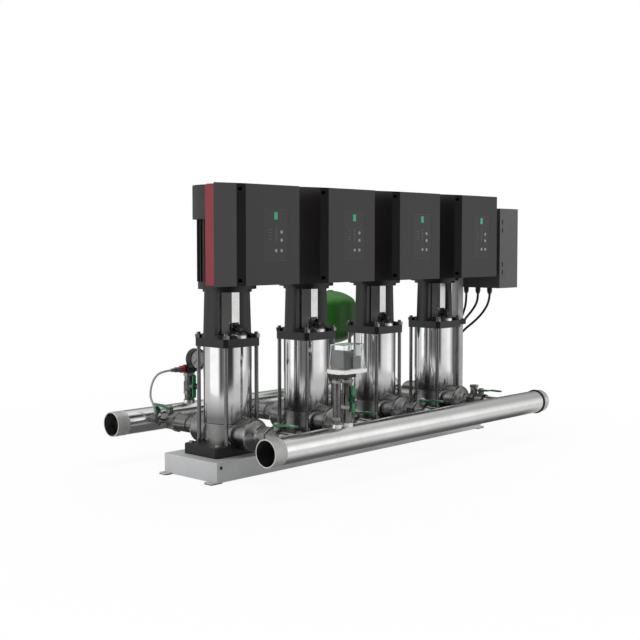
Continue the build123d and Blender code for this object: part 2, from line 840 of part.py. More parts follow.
# Drive casing: a cast tray that fits the band and is saddled on the motor
with BuildPart() as casing:
    with BuildSketch(Plane.XZ.offset(-drive_seam_y)) as casing_outline:
        with Locations((0, band_mid_z)):
            RectangleRounded(*inside, band_corner - band_wall)
    extrude(amount=-(drive_back_y - drive_seam_y))
    with BuildSketch(Plane.XZ.offset(-drive_seam_y)):
        with Locations((0, band_mid_z)):
            Rectangle(inside[0] - 2 * casing_wall, inside[1] - 2 * casing_wall)
    extrude(amount=-(drive_back_y - drive_seam_y - casing_wall), mode=Mode.SUBTRACT)
    post_zs = (core_mid - board_height / 2 + board_stand_off, core_mid + board_height / 2 - board_stand_off)
    board_y = -motor_radius - board_stand_off
    for sx in (-1, 1):
        for z in post_zs:
            with Locations(Location((sx * (board_width / 2 - board_stand_off), board_y, z), (-90, 0, 0))):
                Cylinder(board_post_radius, drive_back_y - board_y, align=on_bottom)
with BuildPart() as saddle:
    with BuildSketch(Plane.XY.offset(cover_bottom_back + band_inset + band_wall)):
        Circle(motor_radius + casing_wall)
    extrude(amount=motor_top - cover_bottom_back - band_inset - band_wall)
    with BuildSketch(Plane.XY.offset(motor_top - casing_wall)):
        Circle(fan_cover_radius + casing_wall)
    extrude(amount=cover_top_back - band_inset - band_wall - motor_top + casing_wall)
    with BuildSketch(Plane.XZ.offset(-drive_seam_y)):
        with Locations((0, band_mid_z)):
            Rectangle(*inside)
    extrude(amount=-(drive_back_y - drive_seam_y), mode=Mode.INTERSECT)
with BuildPart() as drive_casing:
    add(casing.part)
    add(saddle.part)
    for x, z in screw_spots:
        with Locations(Location((x, drive_seam_y, z), (-90, 0, 0))):
            Cylinder(inside[0] / 2 - screw_x, drive_back_y - drive_seam_y, align=on_bottom)
            Cylinder(drive_screw_radius / 2, 2 * drive_screw_radius, mode=Mode.SUBTRACT)
    add(motor_form.part, mode=Mode.SUBTRACT)
drive_casings = separate(pump_spots, drive_casing.part)
drive_casings.label = "drive_casings"
export_step(drive_casings, "parts/drive_casings.step")

# Circuit board on its four posts, with capacitors and a heat sink
with BuildPart() as board:
    with BuildSketch(Plane.XZ.offset(-board_y)):
        with Locations((0, core_mid)):
            Rectangle(board_width, board_height)
    extrude(amount=board_thickness)
capacitor_radius = 15
with BuildPart() as capacitors:
    with BuildSketch(Plane.XZ.offset(-board_y + board_thickness)):
        with Locations((0, core_mid)):
            with GridLocations(3 * capacitor_radius, 3 * capacitor_radius, 3, 2):
                Circle(capacitor_radius)
    extrude(amount=3 * capacitor_radius)
with BuildPart() as heat_sink:
    with BuildSketch(Plane.XZ.offset(-board_y + board_thickness)):
        with Locations((0, core_mid - 4.5 * capacitor_radius)):
            Rectangle(8 * capacitor_radius, capacitor_radius)
    extrude(amount=2 * capacitor_radius)
drive_boards = separate(pump_spots, board.part, capacitors.part, heat_sink.part)
drive_boards.label = "drive_boards"
export_step(drive_boards, "parts/drive_boards.step")

# Turning parts of each pump: shafts, coupling halves, impellers, motor core and fan
impeller_radius = stage_radius - stage_wall - 6
impeller_eye = stage_eye_radius - 3
impeller_sheet = 2
impeller_gap = 5
impeller_height = 20
vane_count = 6
shaft_start = base_top + 1.5 * housing_floor
shaft_joint = (head_top + seal_height + stool_top) / 2
with BuildPart() as impeller:
    add(ring(impeller_eye - impeller_sheet, impeller_radius, 0, impeller_sheet))
    add(ring(shaft_radius, impeller_radius, impeller_height - impeller_sheet, impeller_height))
    add(ring(shaft_radius, shaft_radius + impeller_sheet, 0, impeller_height))
    with BuildSketch():
        with PolarLocations(0, vane_count):
            with BuildLine():
                vane_start = (impeller_eye, 0)
                vane_mid = (0.7 * impeller_radius, 0.25 * impeller_radius)
                vane_end = (0.8 * impeller_radius, 0.55 * impeller_radius)
                vane = ThreePointArc(vane_start, vane_mid, vane_end)
                offset(vane, amount=impeller_sheet / 2, side=Side.BOTH)
            make_face()
    extrude(amount=impeller_height)
pump_shaft = ring(0, shaft_radius, shaft_start, shaft_joint)
motor_shaft_top = motor_top + 0.6 * fan_cover_height
motor_shaft = ring(0, motor_shaft_radius, shaft_joint, motor_shaft_top)
coupling_low = shaft_joint - coupling_length / 2
coupling_high = shaft_joint + coupling_length / 2
with BuildPart() as coupling:
    add(ring(0, coupling_radius, coupling_low, coupling_high))
    chamfer(coupling.edges().filter_by(GeomType.CIRCLE), 2)
    add(ring(0, shaft_radius, coupling_low, shaft_joint), mode=Mode.SUBTRACT)
    add(ring(0, motor_shaft_radius, shaft_joint, coupling_high), mode=Mode.SUBTRACT)
    with Locations((0, 0, shaft_joint)):
        Box(coupling_slit, 3 * coupling_radius, 2 * coupling_length, mode=Mode.SUBTRACT)
motor_core = ring(motor_shaft_radius, rotor_core_radius, core_bottom, core_top)
fan_bottom = motor_top + 0.18 * fan_cover_height
with BuildPart() as fan:
    add(ring(motor_shaft_radius, fan_hub_radius, fan_bottom, fan_bottom + fan_blade_height))
    add(ring(motor_shaft_radius, fan_radius, fan_bottom, fan_bottom + fan_cover_sheet))
    with BuildSketch(Plane.XY.offset(fan_bottom)):
        with PolarLocations((fan_hub_radius + fan_radius) / 2 - fan_cover_sheet, fan_blade_count):
            Rectangle(fan_radius - fan_hub_radius + fan_cover_sheet, fan_cover_sheet)
    extrude(amount=fan_blade_height)
impeller_levels = [sleeve_bottom + i * stage_height + stage_floor + impeller_gap for i in range(stage_count)]
impellers = [impeller.part.moved(Location((0, 0, z))) for z in impeller_levels]
for number, spot in enumerate(pump_spots, start=1):
    rotor = separate([spot], pump_shaft, motor_shaft, coupling.part, motor_core, fan.part, *impellers)
    rotor.label = f"rotor_{number}"
    export_step(rotor, f"parts/rotor_{number}.step")


# Ball valve, drawn with its flow along Y and its stem up, at the origin
seat_face = valve_length / 2 - valve_hex_length / 2
cavity_radius = valve_radius - 3
with BuildPart() as valve_body:
    add(ring_along_y(0, valve_radius, -valve_length / 2 + valve_hex_length, valve_length / 2 - valve_hex_length))
    for side in (-1, 1):
        with BuildSketch(Plane.XZ.offset(side * (valve_length / 2 - valve_hex_length))):
            RegularPolygon(valve_hex_flats / 2, 6, major_radius=False, rotation=30)
        extrude(amount=side * valve_hex_length)
    with Locations((0, 0, 0)):
        Cylinder(bonnet_radius, bonnet_top, align=on_bottom)
    add(ring_along_y(0, cavity_radius, -seat_face, seat_face), mode=Mode.SUBTRACT)
    add(ring_along_y(0, valve_bore, -valve_length, valve_length), mode=Mode.SUBTRACT)
    with Locations((0, 0, 0)):
        Cylinder(stem_radius + running_gap, 2 * bonnet_top, align=on_bottom, mode=Mode.SUBTRACT)
with BuildPart() as seats:
    for side in (-1, 1):
        add(ring_along_y(valve_bore, cavity_radius, side * (seat_face - seat_thickness), side * seat_face))
    Sphere(ball_radius + free_gap, mode=Mode.SUBTRACT)
with BuildPart() as ball:
    Sphere(ball_radius)
    add(ring_along_y(0, valve_bore, -valve_length, valve_length), mode=Mode.SUBTRACT)
    with Locations((0, 0, ball_radius - tang_height)):
        Box(stem_radius, 2 * ball_radius, 2 * tang_height, align=on_bottom, mode=Mode.SUBTRACT)
stem_top = bonnet_top + lever_hub_height
with BuildPart() as stem:
    with Locations((0, 0, ball_radius)):
        Cylinder(stem_radius, stem_top - ball_radius, align=on_bottom)
    with Locations((0, 0, ball_radius - tang_height)):
        Box(stem_radius, 1.4 * stem_radius, tang_height, align=on_bottom)
hub_bottom = bonnet_top + free_gap
with BuildPart() as lever:
    with Locations((0, 0, hub_bottom)):
        Cylinder(lever_hub_radius, lever_hub_height - free_gap, align=on_bottom)
    arm_level = hub_bottom + lever_hub_height - lever_thickness
    with BuildSketch(Plane.YZ):
        with BuildLine():
            Polyline(
                (0, arm_level - free_gap),
                (0.35 * lever_length, arm_level - free_gap),
                (0.5 * lever_length, arm_level + lever_rise),
                (lever_length, arm_level + lever_rise),
                (lever_length, arm_level + lever_rise + lever_thickness),
                (0.5 * lever_length - 2, arm_level + lever_rise + lever_thickness),
                (0.35 * lever_length - 2, arm_level + lever_thickness - free_gap),
                (0, arm_level + lever_thickness - free_gap),
                close=True,
            )
        make_face()
    extrude(amount=lever_width / 2, both=True)
    grip_end = lever.faces().sort_by(Axis.Y)[-1].edges().filter_by(Axis.Z)
    fillet(grip_end, 0.4 * lever_width)
    with Locations((0, 0, 0)):
        Cylinder(stem_radius, 3 * bonnet_top, align=on_bottom, mode=Mode.SUBTRACT)
with BuildPart() as stem_nut:
    with BuildSketch(Plane.XY.offset(stem_top)):
        RegularPolygon(1.5 * stem_radius, 6, major_radius=False)
    extrude(amount=0.8 * stem_radius)

suction_valves = [Location((x, suction_valve_y, port_z)) for x in pump_xs]
discharge_valves = [Location((x, discharge_valve_y, port_z), (0, 0, 180)) for x in pump_xs]
valve_bodies = separate(suction_valves + discharge_valves, valve_body.part, seats.part)
valve_bodies.label = "valve_bodies"
export_step(valve_bodies, "parts/valve_bodies.step")
for side_name, places in (("suction", suction_valves), ("discharge", discharge_valves)):
    for number, place in enumerate(places, start=1):
        valve_lever = separate([place], ball.part, stem.part, lever.part, stem_nut.part)
        valve_lever.label = f"{side_name}_lever_{number}"
        export_step(valve_lever, f"parts/{side_name}_lever_{number}.step")


# Union nuts: on the pump side of every valve, each drawn from the valve's face back to the pump
def union_nut(length):
    """A hexagon union nut round its own tail piece, from y = 0 towards -Y."""
    with BuildPart() as nut:
        with BuildSketch(Plane.XZ):
            RegularPolygon(union_flats / 2, 6, major_radius=False, rotation=30)
            Circle(neck_radius, mode=Mode.SUBTRACT)
        extrude(amount=length)
        chamfer(nut.edges().filter_by(GeomType.LINE).filter_by(Axis.Y, reverse=True), 1.5)
    return nut.part


suction_nut_y = suction_valve_y - valve_length / 2
tail_piece = ring_along_y(neck_bore, neck_radius, -union_length, 0)
suction_unions = separate(
    [Location((x, suction_nut_y, port_z)) for x in pump_xs], union_nut(union_length), tail_piece
)
discharge_nut_y = discharge_valve_y + valve_length / 2
discharge_unions = separate(
    [Location((x, discharge_nut_y, port_z), (0, 0, 180)) for x in pump_xs],
    union_nut(discharge_union_length),
)
union_nuts = Compound(suction_unions.solids() + discharge_unions.solids())
union_nuts.label = "union_nuts"
export_step(union_nuts, "parts/union_nuts.step")

# Check valve on each suction side: a turned shell with a seat ring and a guide for the disc's stem
check_start = suction_neck_end
check_end = check_start + check_length
disc_back = check_end - check_seat - free_gap
guide_length = 12
guide_start = check_start + 8
check_bore = check_radius - 4
with BuildPart() as check_shell:
    add(ring_along_y(check_bore, check_radius, check_start, check_end))
    add(ring_along_y(neck_bore, check_bore, check_start, check_start + check_seat))
    add(ring_along_y(disc_radius - 3, check_bore, check_end - check_seat, check_end))
with BuildPart() as disc_guide:
    add(ring_along_y(disc_stem_radius + running_gap, 3 * disc_stem_radius, guide_start, guide_start + guide_length))
    with BuildSketch(Plane.XZ.offset(-guide_start)):
        with PolarLocations((check_bore + 2.9 * disc_stem_radius) / 2, 3):
            Rectangle(check_bore - 2.5 * disc_stem_radius, disc_stem_radius)
        Circle(check_bore, mode=Mode.INTERSECT)
        Circle(2.5 * disc_stem_radius, mode=Mode.SUBTRACT)
    extrude(amount=-guide_length)
check_housings = separate([Location((x, 0, port_z)) for x in pump_xs], check_shell.part, disc_guide.part)
check_housings.label = "check_housings"
export_step(check_housings, "parts/check_housings.step")
disc_plate = ring_along_y(0, disc_radius, disc_back - disc_thickness, disc_back)
disc_stem = ring_along_y(0, disc_stem_radius, guide_start + 1, disc_back - disc_thickness)
with BuildPart() as check_disc:
    add(disc_plate)
    add(disc_stem)
for number, x in enumerate(pump_xs, start=1):
    disc = separate([Location((x, 0, port_z))], check_disc.part)
    disc.label = f"check_disc_{number}"
    export_step(disc, f"parts/check_disc_{number}.step")


# Manifolds: one tube with a welded stub for each pump, and a grooved end piece welded to its open end
manifold_bore = manifold_radius - manifold_wall


def manifold(side, stub_start, branches):
    """A manifold on the side given by its sign: its tube with stubs back to the valves, and its end piece."""
    tube_y = side * manifold_offset
    tube_left = manifold_left + end_piece_length
    tube_length = manifold_right - tube_left
    with BuildPart() as tube:
        with Locations(Location((tube_left, tube_y, port_z), (0, 90, 0))):
            Cylinder(manifold_radius, tube_length, align=on_bottom)
        stub_length = manifold_offset - stub_start
        for x in pump_xs:
            with Locations(Location((x, tube_y, port_z), (side * 90, 0, 0))):
                Cylinder(stub_radius, stub_length, align=on_bottom)
                collar_reach = manifold_radius + weld_collar
                Cylinder(stub_radius + weld_collar / 2, collar_reach, align=on_bottom)
        for x, radius, height in branches:
            with Locations((x, tube_y, port_z)):
                Cylinder(radius, height, align=on_bottom)
        with Locations(Location((tube_left, tube_y, port_z), (0, 90, 0))):
            Cylinder(manifold_bore, tube_length, align=on_bottom, mode=Mode.SUBTRACT)
        for x in pump_xs:
            with Locations(Location((x, tube_y, port_z), (side * 90, 0, 0))):
                Cylinder(stub_bore, stub_length, align=on_bottom, mode=Mode.SUBTRACT)
        for x, radius, height in branches:
            with Locations((x, tube_y, port_z)):
                Cylinder(branch_bore, height, align=on_bottom, mode=Mode.SUBTRACT)
    end_piece = turned(
        [
            (manifold_bore, 0),
            (manifold_radius, 0),
            (manifold_radius, groove_from_end),
            (manifold_radius - groove_depth, groove_from_end),
            (manifold_radius - groove_depth, groove_from_end + groove_width),
            (manifold_radius, groove_from_end + groove_width),
            (manifold_radius, end_piece_length),
            (manifold_bore, end_piece_length),
        ]
    )
    end_place = Location((manifold_left, tube_y, port_z), (0, 90, 0))
    return Compound(tube.part.solids() + separate([end_place], end_piece).solids())


socket_height = manifold_radius + 2 * weld_collar
suction_branches = (
    (gauge_branch_x, gauge_branch_radius + weld_collar, socket_height),
    (tank_x, tank_pipe_radius + weld_collar, socket_height),
)
discharge_branches = (
    (switch_branch_x, switch_branch_radius + weld_collar, socket_height),
    (switch_branch_x + second_tube_offset, second_tube_radius + weld_collar, socket_height),
)
suction_manifold = manifold(1, suction_valve_y + valve_length / 2, suction_branches)
suction_manifold.label = "suction_manifold"
export_step(suction_manifold, "parts/suction_manifold.step")
discharge_manifold = manifold(-1, -discharge_valve_y + valve_length / 2, discharge_branches)
discharge_manifold.label = "discharge_manifold"
export_step(discharge_manifold, "parts/discharge_manifold.step")

# Screwed end cap with its gasket on the right end of each manifold
gasket_ring = ring(0.6 * manifold_radius, manifold_radius + 1, 0, cap_gasket)
end_cap = turned(
    [
        (0, cap_gasket + cap_length - cap_wall),
        (0.7 * manifold_radius, cap_gasket + cap_length - cap_wall),
        (0.7 * manifold_radius, cap_gasket),
        (manifold_radius, cap_gasket),
        (manifold_radius, cap_gasket + 0.8 * cap_length),
        (0.9 * manifold_radius, cap_gasket + cap_length),
        (0, cap_gasket + cap_length),
    ]
)
cap_places = [Location((manifold_right, s * manifold_offset, port_z), (0, 90, 0)) for s in (-1, 1)]
end_caps = separate(cap_places, gasket_ring, end_cap)
end_caps.label = "end_caps"
export_step(end_caps, "parts/end_caps.step")

# Branch fittings: gauge column with its cross, switch column, second tube and tank pipe
socket_top = port_z + socket_height
cross_top = gauge_branch_top + cross_height
gauge_y = manifold_offset - gauge_forward


def cock_column(radius, top, cock_z):
    """An upright tube with a cock's barrel in it and a boss for the handle's stem towards -Y."""
    with BuildPart() as column:
        with Locations((0, 0, socket_top)):
            Cylinder(radius, top - socket_top, align=on_bottom)
        with Locations((0, 0, cock_z)):
            Cylinder(radius + 3, cock_barrel_height)
        with Locations(Location((0, 0, cock_z), (90, 0, 0))):
            Cylinder(cock_boss_radius, radius + cock_boss_length, align=on_bottom)
            Cylinder(cock_stem_radius + running_gap, 2 * radius, align=on_bottom, mode=Mode.SUBTRACT)
        with Locations((0, 0, cock_z)):
            Box(branch_bore, branch_bore, 2 * cock_boss_radius, mode=Mode.SUBTRACT)
    return column.part


with BuildPart() as gauge_cross:
    with Locations((0, 0, gauge_branch_top)):
        Box(2 * cross_half_width, 2 * cross_half_width, cross_height, align=on_bottom)
    cross_mid = gauge_branch_top + cross_height / 2
    chamfer(gauge_cross.edges().filter_by(Axis.Z), 0.35 * cross_half_width)
    with Locations(Location((0, 0, cross_mid), (0, 90, 0))):
        Cylinder(0.6 * cross_half_width, 2.9 * cross_half_width)
with BuildPart() as gauge_neck:
    neck_z = gauge_mid_z - gauge_neck_radius
    with Locations((0, 0, cross_top)):
        Cylinder(gauge_neck_radius, neck_z - cross_top, align=on_bottom)
    with Locations((0, 0, neck_z)):
        Sphere(gauge_neck_radius)
    with Locations(Location((0, 0, neck_z), (90, 0, 0))):
        Cylinder(gauge_neck_radius, gauge_forward - gauge_depth / 2, align=on_bottom)
tank_pipe = ring(branch_bore, tank_pipe_radius, socket_top, tank_bottom)
second_tube = ring(branch_bore, second_tube_radius, socket_top, switch_branch_top)
gauge_column = cock_column(gauge_branch_radius, gauge_branch_top, suction_cock_z)
switch_column = cock_column(switch_branch_radius, switch_branch_top, discharge_cock_z)
gauge_spot = Location((gauge_branch_x, manifold_offset, 0))
switch_spot = Location((switch_branch_x, -manifold_offset, 0))
branch_fittings = Compound(
    separate([gauge_spot], gauge_column, gauge_cross.part, gauge_neck.part).solids()
    + separate([switch_spot], switch_column).solids()
    + separate([switch_spot * Location((second_tube_offset, 0, 0))], second_tube).solids()
    + separate([Location((tank_x, manifold_offset, 0))], tank_pipe).solids()
)
branch_fittings.label = "branch_fittings"
export_step(branch_fittings, "parts/branch_fittings.step")


# Butterfly handles of the two cocks, each with its stem
def cock_handle(radius):
    """A two-winged handle on a stem along -Y, at the cock's centre."""
    face = radius + cock_boss_length + free_gap
    with BuildPart() as handle:
        with BuildSketch(Plane.XZ.offset(face)):
            SlotOverall(handle_span, handle_width, rotation=90)
            Circle(handle_hub_radius)
        extrude(amount=handle_thickness)
        with BuildSketch(Plane.XZ.offset(face)):
            Circle(handle_hub_radius)
        extrude(amount=1.8 * handle_thickness)
    stem_end = face + handle_thickness
    with BuildPart() as stem_rod:
        with BuildSketch(Plane.XZ.offset(radius / 2)):
            Circle(cock_stem_radius)
        extrude(amount=stem_end - radius / 2)
    with BuildPart() as bored:
        add(handle.part)
        add(stem_rod.part, mode=Mode.SUBTRACT)
    return bored.part, stem_rod.part


suction_place = gauge_spot * Location((0, 0, suction_cock_z))
suction_cock_handle = separate([suction_place], *cock_handle(gauge_branch_radius))
suction_cock_handle.label = "suction_cock_handle"
export_step(suction_cock_handle, "parts/suction_cock_handle.step")
discharge_place = switch_spot * Location((0, 0, discharge_cock_z))
discharge_cock_handle = separate([discharge_place], *cock_handle(switch_branch_radius))
discharge_cock_handle.label = "discharge_cock_handle"
export_step(discharge_cock_handle, "parts/discharge_cock_handle.step")

# Pressure gauge: cup case, dial and glass, facing -Y
gauge_spot_y = Location((gauge_branch_x, gauge_y, gauge_mid_z))
case_wall = gauge_radius - dial_radius
case_back = gauge_depth / 2
dial_back = -case_back + 9
glass_back = -case_back + 4
gauge_case = turned(
    [
        (0, case_back),
        (gauge_radius - 2, case_back),
        (gauge_radius, case_back - 3),
        (gauge_radius, -case_back),
        (dial_radius, -case_back),
        (dial_radius, case_back - case_wall),
        (0, case_back - case_wall),
    ],
    Plane.XY,
    Axis.Y,
)
dial = ring_along_y(needle_pivot_radius + running_gap, dial_radius, dial_back, case_back - case_wall)
glass = ring_along_y(0, dial_radius, glass_back - 2, glass_back)
pressure_gauge = separate([gauge_spot_y], gauge_case, dial, glass)
pressure_gauge.label = "pressure_gauge"
export_step(pressure_gauge, "parts/pressure_gauge.step")
with BuildPart() as needle:
    with BuildSketch(Plane.XZ.offset(-dial_back + 1)):
        with Locations(Rotation(0, 0, 225)):
            Polygon(
                (-needle_tail, -needle_half_width),
                (-needle_tail, needle_half_width),
                (needle_length, needle_tip_half_width),
                (needle_length, -needle_tip_half_width),
                align=None,
            )
        Circle(2 * needle_pivot_radius)
    extrude(amount=1)
    with BuildSketch(Plane.XZ.offset(-dial_back + 1)):
        Circle(needle_pivot_radius)
    extrude(amount=-5)
gauge_needle = separate([gauge_spot_y], needle.part)
gauge_needle.label = "gauge_needle"
export_step(gauge_needle, "parts/gauge_needle.step")

# Pressure sensors: a red collar and a grey body on the left arm, a plug with a collar on the right,
# and the dry running probe in the suction manifold with its upright cable outlet
arm_reach = 1.45 * cross_half_width
with BuildPart() as left_collar:
    with Locations(Location((-arm_reach, 0, cross_mid), (0, -90, 0))):
        Cylinder(sensor_collar_radius, sensor_collar_length, align=on_bottom)
with BuildPart() as left_body:
    with Locations(Location((-arm_reach - sensor_collar_length, 0, cross_mid), (0, -90, 0))):
        Cylinder(sensor_body_radius, 0.6 * sensor_body_length, align=on_bottom)
        Cylinder(0.7 * sensor_body_radius, sensor_body_length, align=on_bottom)
with BuildPart() as right_plug:
    with Locations(Location((arm_reach, 0, cross_mid), (0, 90, 0))):
        Cylinder(sensor_collar_radius, sensor_collar_length, align=on_bottom)
        Cylinder(sensor_body_radius, 2.5 * sensor_collar_length, align=on_bottom)
probe_root = (manifold_radius**2 - (probe_z - port_z) ** 2) ** 0.5 - manifold_wall / 2
probe_tip_y = -probe_root - probe_reach
with BuildPart() as probe:
    with Locations(Location((0, -probe_root, 0), (90, 0, 0))):
        Cylinder(probe_radius, probe_reach, align=on_bottom)
    with Locations((0, probe_tip_y + probe_radius, 0)):
        Cylinder(probe_outlet_radius, probe_radius + probe_outlet_height, align=on_bottom)
    with Locations(Location((0, 0, port_z - probe_z), (0, 90, 0))):
        Cylinder(manifold_radius, 4 * probe_radius, mode=Mode.SUBTRACT)
pressure_sensors = Compound(
    separate([gauge_spot], left_collar.part, left_body.part, right_plug.part).solids()
    + separate([Location((probe_x, manifold_offset, probe_z))], probe.part).solids()
)
pressure_sensors.label = "pressure_sensors"
export_step(pressure_sensors, "parts/pressure_sensors.step")


def cable(points, radius):
    """A cable's tube: straight runs joined by arcs as large as the shorter run beside them allows."""
    spots = [Vector(*point) for point in points]
    bends = []
    for before, corner, after in zip(spots, spots[1:], spots[2:]):
        first = corner - before
        second = after - corner
        shorter = min(first.length, second.length)
        bends.append(0.45 * shorter / tan(radians(first.get_angle(second) / 2)))
    with BuildPart() as tube:
        with BuildLine() as route:
            FilletPolyline(*spots, radius=bends)
        with BuildSketch(Plane(origin=spots[0], z_dir=spots[1] - spots[0])):
            Circle(radius)
        sweep()
    length = sum(edge.length for edge in route.edges())
    full = pi * radius**2 * length
    print("cable radii", [round(b) for b in bends], "length", round(length, 1))
    print("cable volume", round(tube.part.volume), "of", round(full))
    return tube.part


# Sensor cable: a free loop from the sensor's body out and down to the probe's outlet
sensor_exit_x = gauge_branch_x - arm_reach - sensor_collar_length - sensor_body_length
outlet_top = probe_z + probe_radius + probe_outlet_height
outlet_y = manifold_offset + probe_tip_y + probe_radius
sensor_route = [
    (sensor_exit_x, manifold_offset, cross_mid),
    (-548, manifold_offset, cross_mid),
    (-587, 391, 292),
    (-614, 378, 257),
    (-628, 362, 222),
    (probe_x, outlet_y, 194),
    (probe_x, outlet_y, outlet_top),
]
sensor_cable = separate([Location()], cable(sensor_route, sensor_cable_radius))
sensor_cable.label = "sensor_cable"
export_step(sensor_cable, "parts/sensor_cable.step")

# Pressure switch: carrier plate, flanged base, terminal block and mechanism, with a brass adjuster
with BuildPart() as carrier:
    with Locations((second_tube_offset / 2, 0, switch_branch_top)):
        Box(plate_length, plate_width, plate_thickness, align=on_bottom)
base_bottom = switch_branch_top + plate_thickness
with BuildPart() as switch_base:
    with BuildSketch(Plane.XY.offset(base_bottom)):
        RectangleRounded(switch_length, switch_width, 3)
    extrude(amount=switch_base_height)
inside_floor = base_bottom + switch_base_height
with BuildPart() as terminal_block:
    with Locations((terminal_block_x, 0, inside_floor)):
        Box(terminal_block_width, 0.7 * switch_width, 0.75 * switch_cover_height, align=on_bottom)
    rib_pitch = 0.08 * switch_cover_height
    rib_mid = inside_floor + 0.375 * switch_cover_height
    for row in range(-3, 4):
        with Locations((terminal_block_x, -0.35 * switch_width, rib_mid + row * rib_pitch)):
            Box(terminal_block_width - 2, 4, 0.4 * rib_pitch, mode=Mode.SUBTRACT)
with BuildPart() as mechanism:
    with Locations((0.22 * switch_length, 0, inside_floor)):
        Box(0.34 * switch_length, 0.55 * switch_width, 0.5 * switch_cover_height, align=on_bottom)
    with Locations((0.22 * switch_length, 0, inside_floor + 0.5 * switch_cover_height)):
        Cylinder(switch_spring_radius, 0.25 * switch_cover_height, align=on_bottom)
with BuildPart() as adjuster:
    adjuster_x = -switch_length / 2 + adjuster_from_edge
    with Locations((adjuster_x, switch_width / 2 - adjuster_from_edge, base_bottom)):
        Cylinder(adjuster_radius, plate_thickness, align=hub_down)
pressure_switch = separate(
    [switch_spot],
    carrier.part,
    switch_base.part,
    terminal_block.part,
    mechanism.part,
    adjuster.part,
)
pressure_switch.label = "pressure_switch"
export_step(pressure_switch, "parts/pressure_switch.step")


# Clear cover of the pressure switch: a drafted box, open at the bottom
def cover_form(inset, top):
    """The clear cover's drafted form, drawn in by a wall."""
    rim = 2 + inset
    with BuildPart() as form:
        with BuildSketch(Plane.XY.offset(inside_floor)):
            RectangleRounded(switch_length - 2 * rim, switch_width - 2 * rim, 4)
        with BuildSketch(Plane.XY.offset(top)):
            shrink = 2 * (rim + switch_cover_draft)
            RectangleRounded(switch_length - shrink, switch_width - shrink, 4)
        loft()
    return form.part


with BuildPart() as clear_cover:
    cover_top = inside_floor + switch_cover_height
    add(cover_form(0, cover_top))
    add(cover_form(switch_cover_wall, cover_top - switch_cover_wall), mode=Mode.SUBTRACT)
switch_cover = separate([switch_spot], clear_cover.part)
switch_cover.label = "switch_cover"
export_step(switch_cover, "parts/switch_cover.step")


# Diaphragm tank: a domed steel shell on its pipe, split inside by a rubber diaphragm
def tank_form(radius, bottom, top, dome, knuckle):
    """A solid with a dished head at each end: a crown arc that runs into a tighter knuckle arc."""
    hub = radius - knuckle
    crown = (dome**2 + hub**2 - knuckle**2) / (2 * (dome - knuckle))
    turn = degrees(atan2(crown - dome, hub))
    with BuildPart() as form:
        with BuildSketch(Plane.XZ):
            with BuildLine():
                CenterArc((hub, top - dome), knuckle, 0, turn)
                CenterArc((0, top - crown), crown, turn, 90 - turn)
                Line((0, top), (0, bottom))
                CenterArc((0, bottom + crown), crown, 270, 90 - turn)
                CenterArc((hub, bottom + dome), knuckle, 360 - turn, turn)
                Line((radius, bottom + dome), (radius, top - dome))
            make_face()
        revolve(axis=Axis.Z)
    return form.part


with BuildPart() as shell:
    add(tank_form(tank_radius, tank_bottom, tank_top, tank_dome, tank_knuckle))
    inner_ends = (tank_bottom + tank_wall, tank_top - tank_wall, tank_dome - tank_wall)
    add(tank_form(tank_radius - tank_wall, *inner_ends, tank_knuckle - tank_wall), mode=Mode.SUBTRACT)
    with Locations((0, 0, tank_bottom)):
        Cylinder(branch_bore, 4 * tank_wall, mode=Mode.SUBTRACT)
    seam_z = (tank_bottom + tank_top) / 2
    with BuildSketch(Plane.XY.offset(seam_z - tank_seam_height / 2)):
        Circle(tank_radius + tank_seam_proud)
        Circle(tank_radius - tank_wall / 2, mode=Mode.SUBTRACT)
    extrude(amount=tank_seam_height)
    with Locations((0, 0, tank_top - tank_wall / 2)):
        Cylinder(tank_valve_radius, tank_valve_height, align=on_bottom)
tank_spot = Location((tank_x, manifold_offset, 0))
tank_shell = separate([tank_spot], shell.part)
tank_shell.label = "tank_shell"
export_step(tank_shell, "parts/tank_shell.step")
with BuildPart() as diaphragm:
    sag = 0.6 * tank_dome
    membrane_radius = tank_radius - tank_wall
    with BuildSketch(Plane.XZ):
        with Locations((0, seam_z)):
            Ellipse(membrane_radius, sag)
            Ellipse(membrane_radius - diaphragm_thickness, sag - diaphragm_thickness, mode=Mode.SUBTRACT)
            Rectangle(2 * tank_radius, tank_radius, align=(Align.CENTER, Align.MIN), mode=Mode.SUBTRACT)
            Rectangle(tank_radius, 2 * tank_radius, align=(Align.MAX, Align.CENTER), mode=Mode.SUBTRACT)
    revolve(axis=Axis.Z)
tank_diaphragm = separate([tank_spot], diaphragm.part)
tank_diaphragm.label = "tank_diaphragm"
export_step(tank_diaphragm, "parts/tank_diaphragm.step")

# Post: a square tube bolted to the frame's right end, with its top plug
post_mid_y = post_front_y + post_size / 2
with BuildPart() as post:
    with Locations((post_x, post_mid_y, floor_pad)):
        Box(post_size, post_size, post_top - floor_pad, align=on_bottom)
        bore = post_size - 2 * post_wall
        Box(bore, bore, post_top - floor_pad, align=on_bottom, mode=Mode.SUBTRACT)
with BuildPart() as post_plug:
    with Locations((post_x, post_mid_y, post_top)):
        Box(post_size, post_size, post_wall, align=on_bottom)
cabinet_post = separate([Location()], post.part, post_plug.part)
cabinet_post.label = "cabinet_post"
export_step(cabinet_post, "parts/cabinet_post.step")

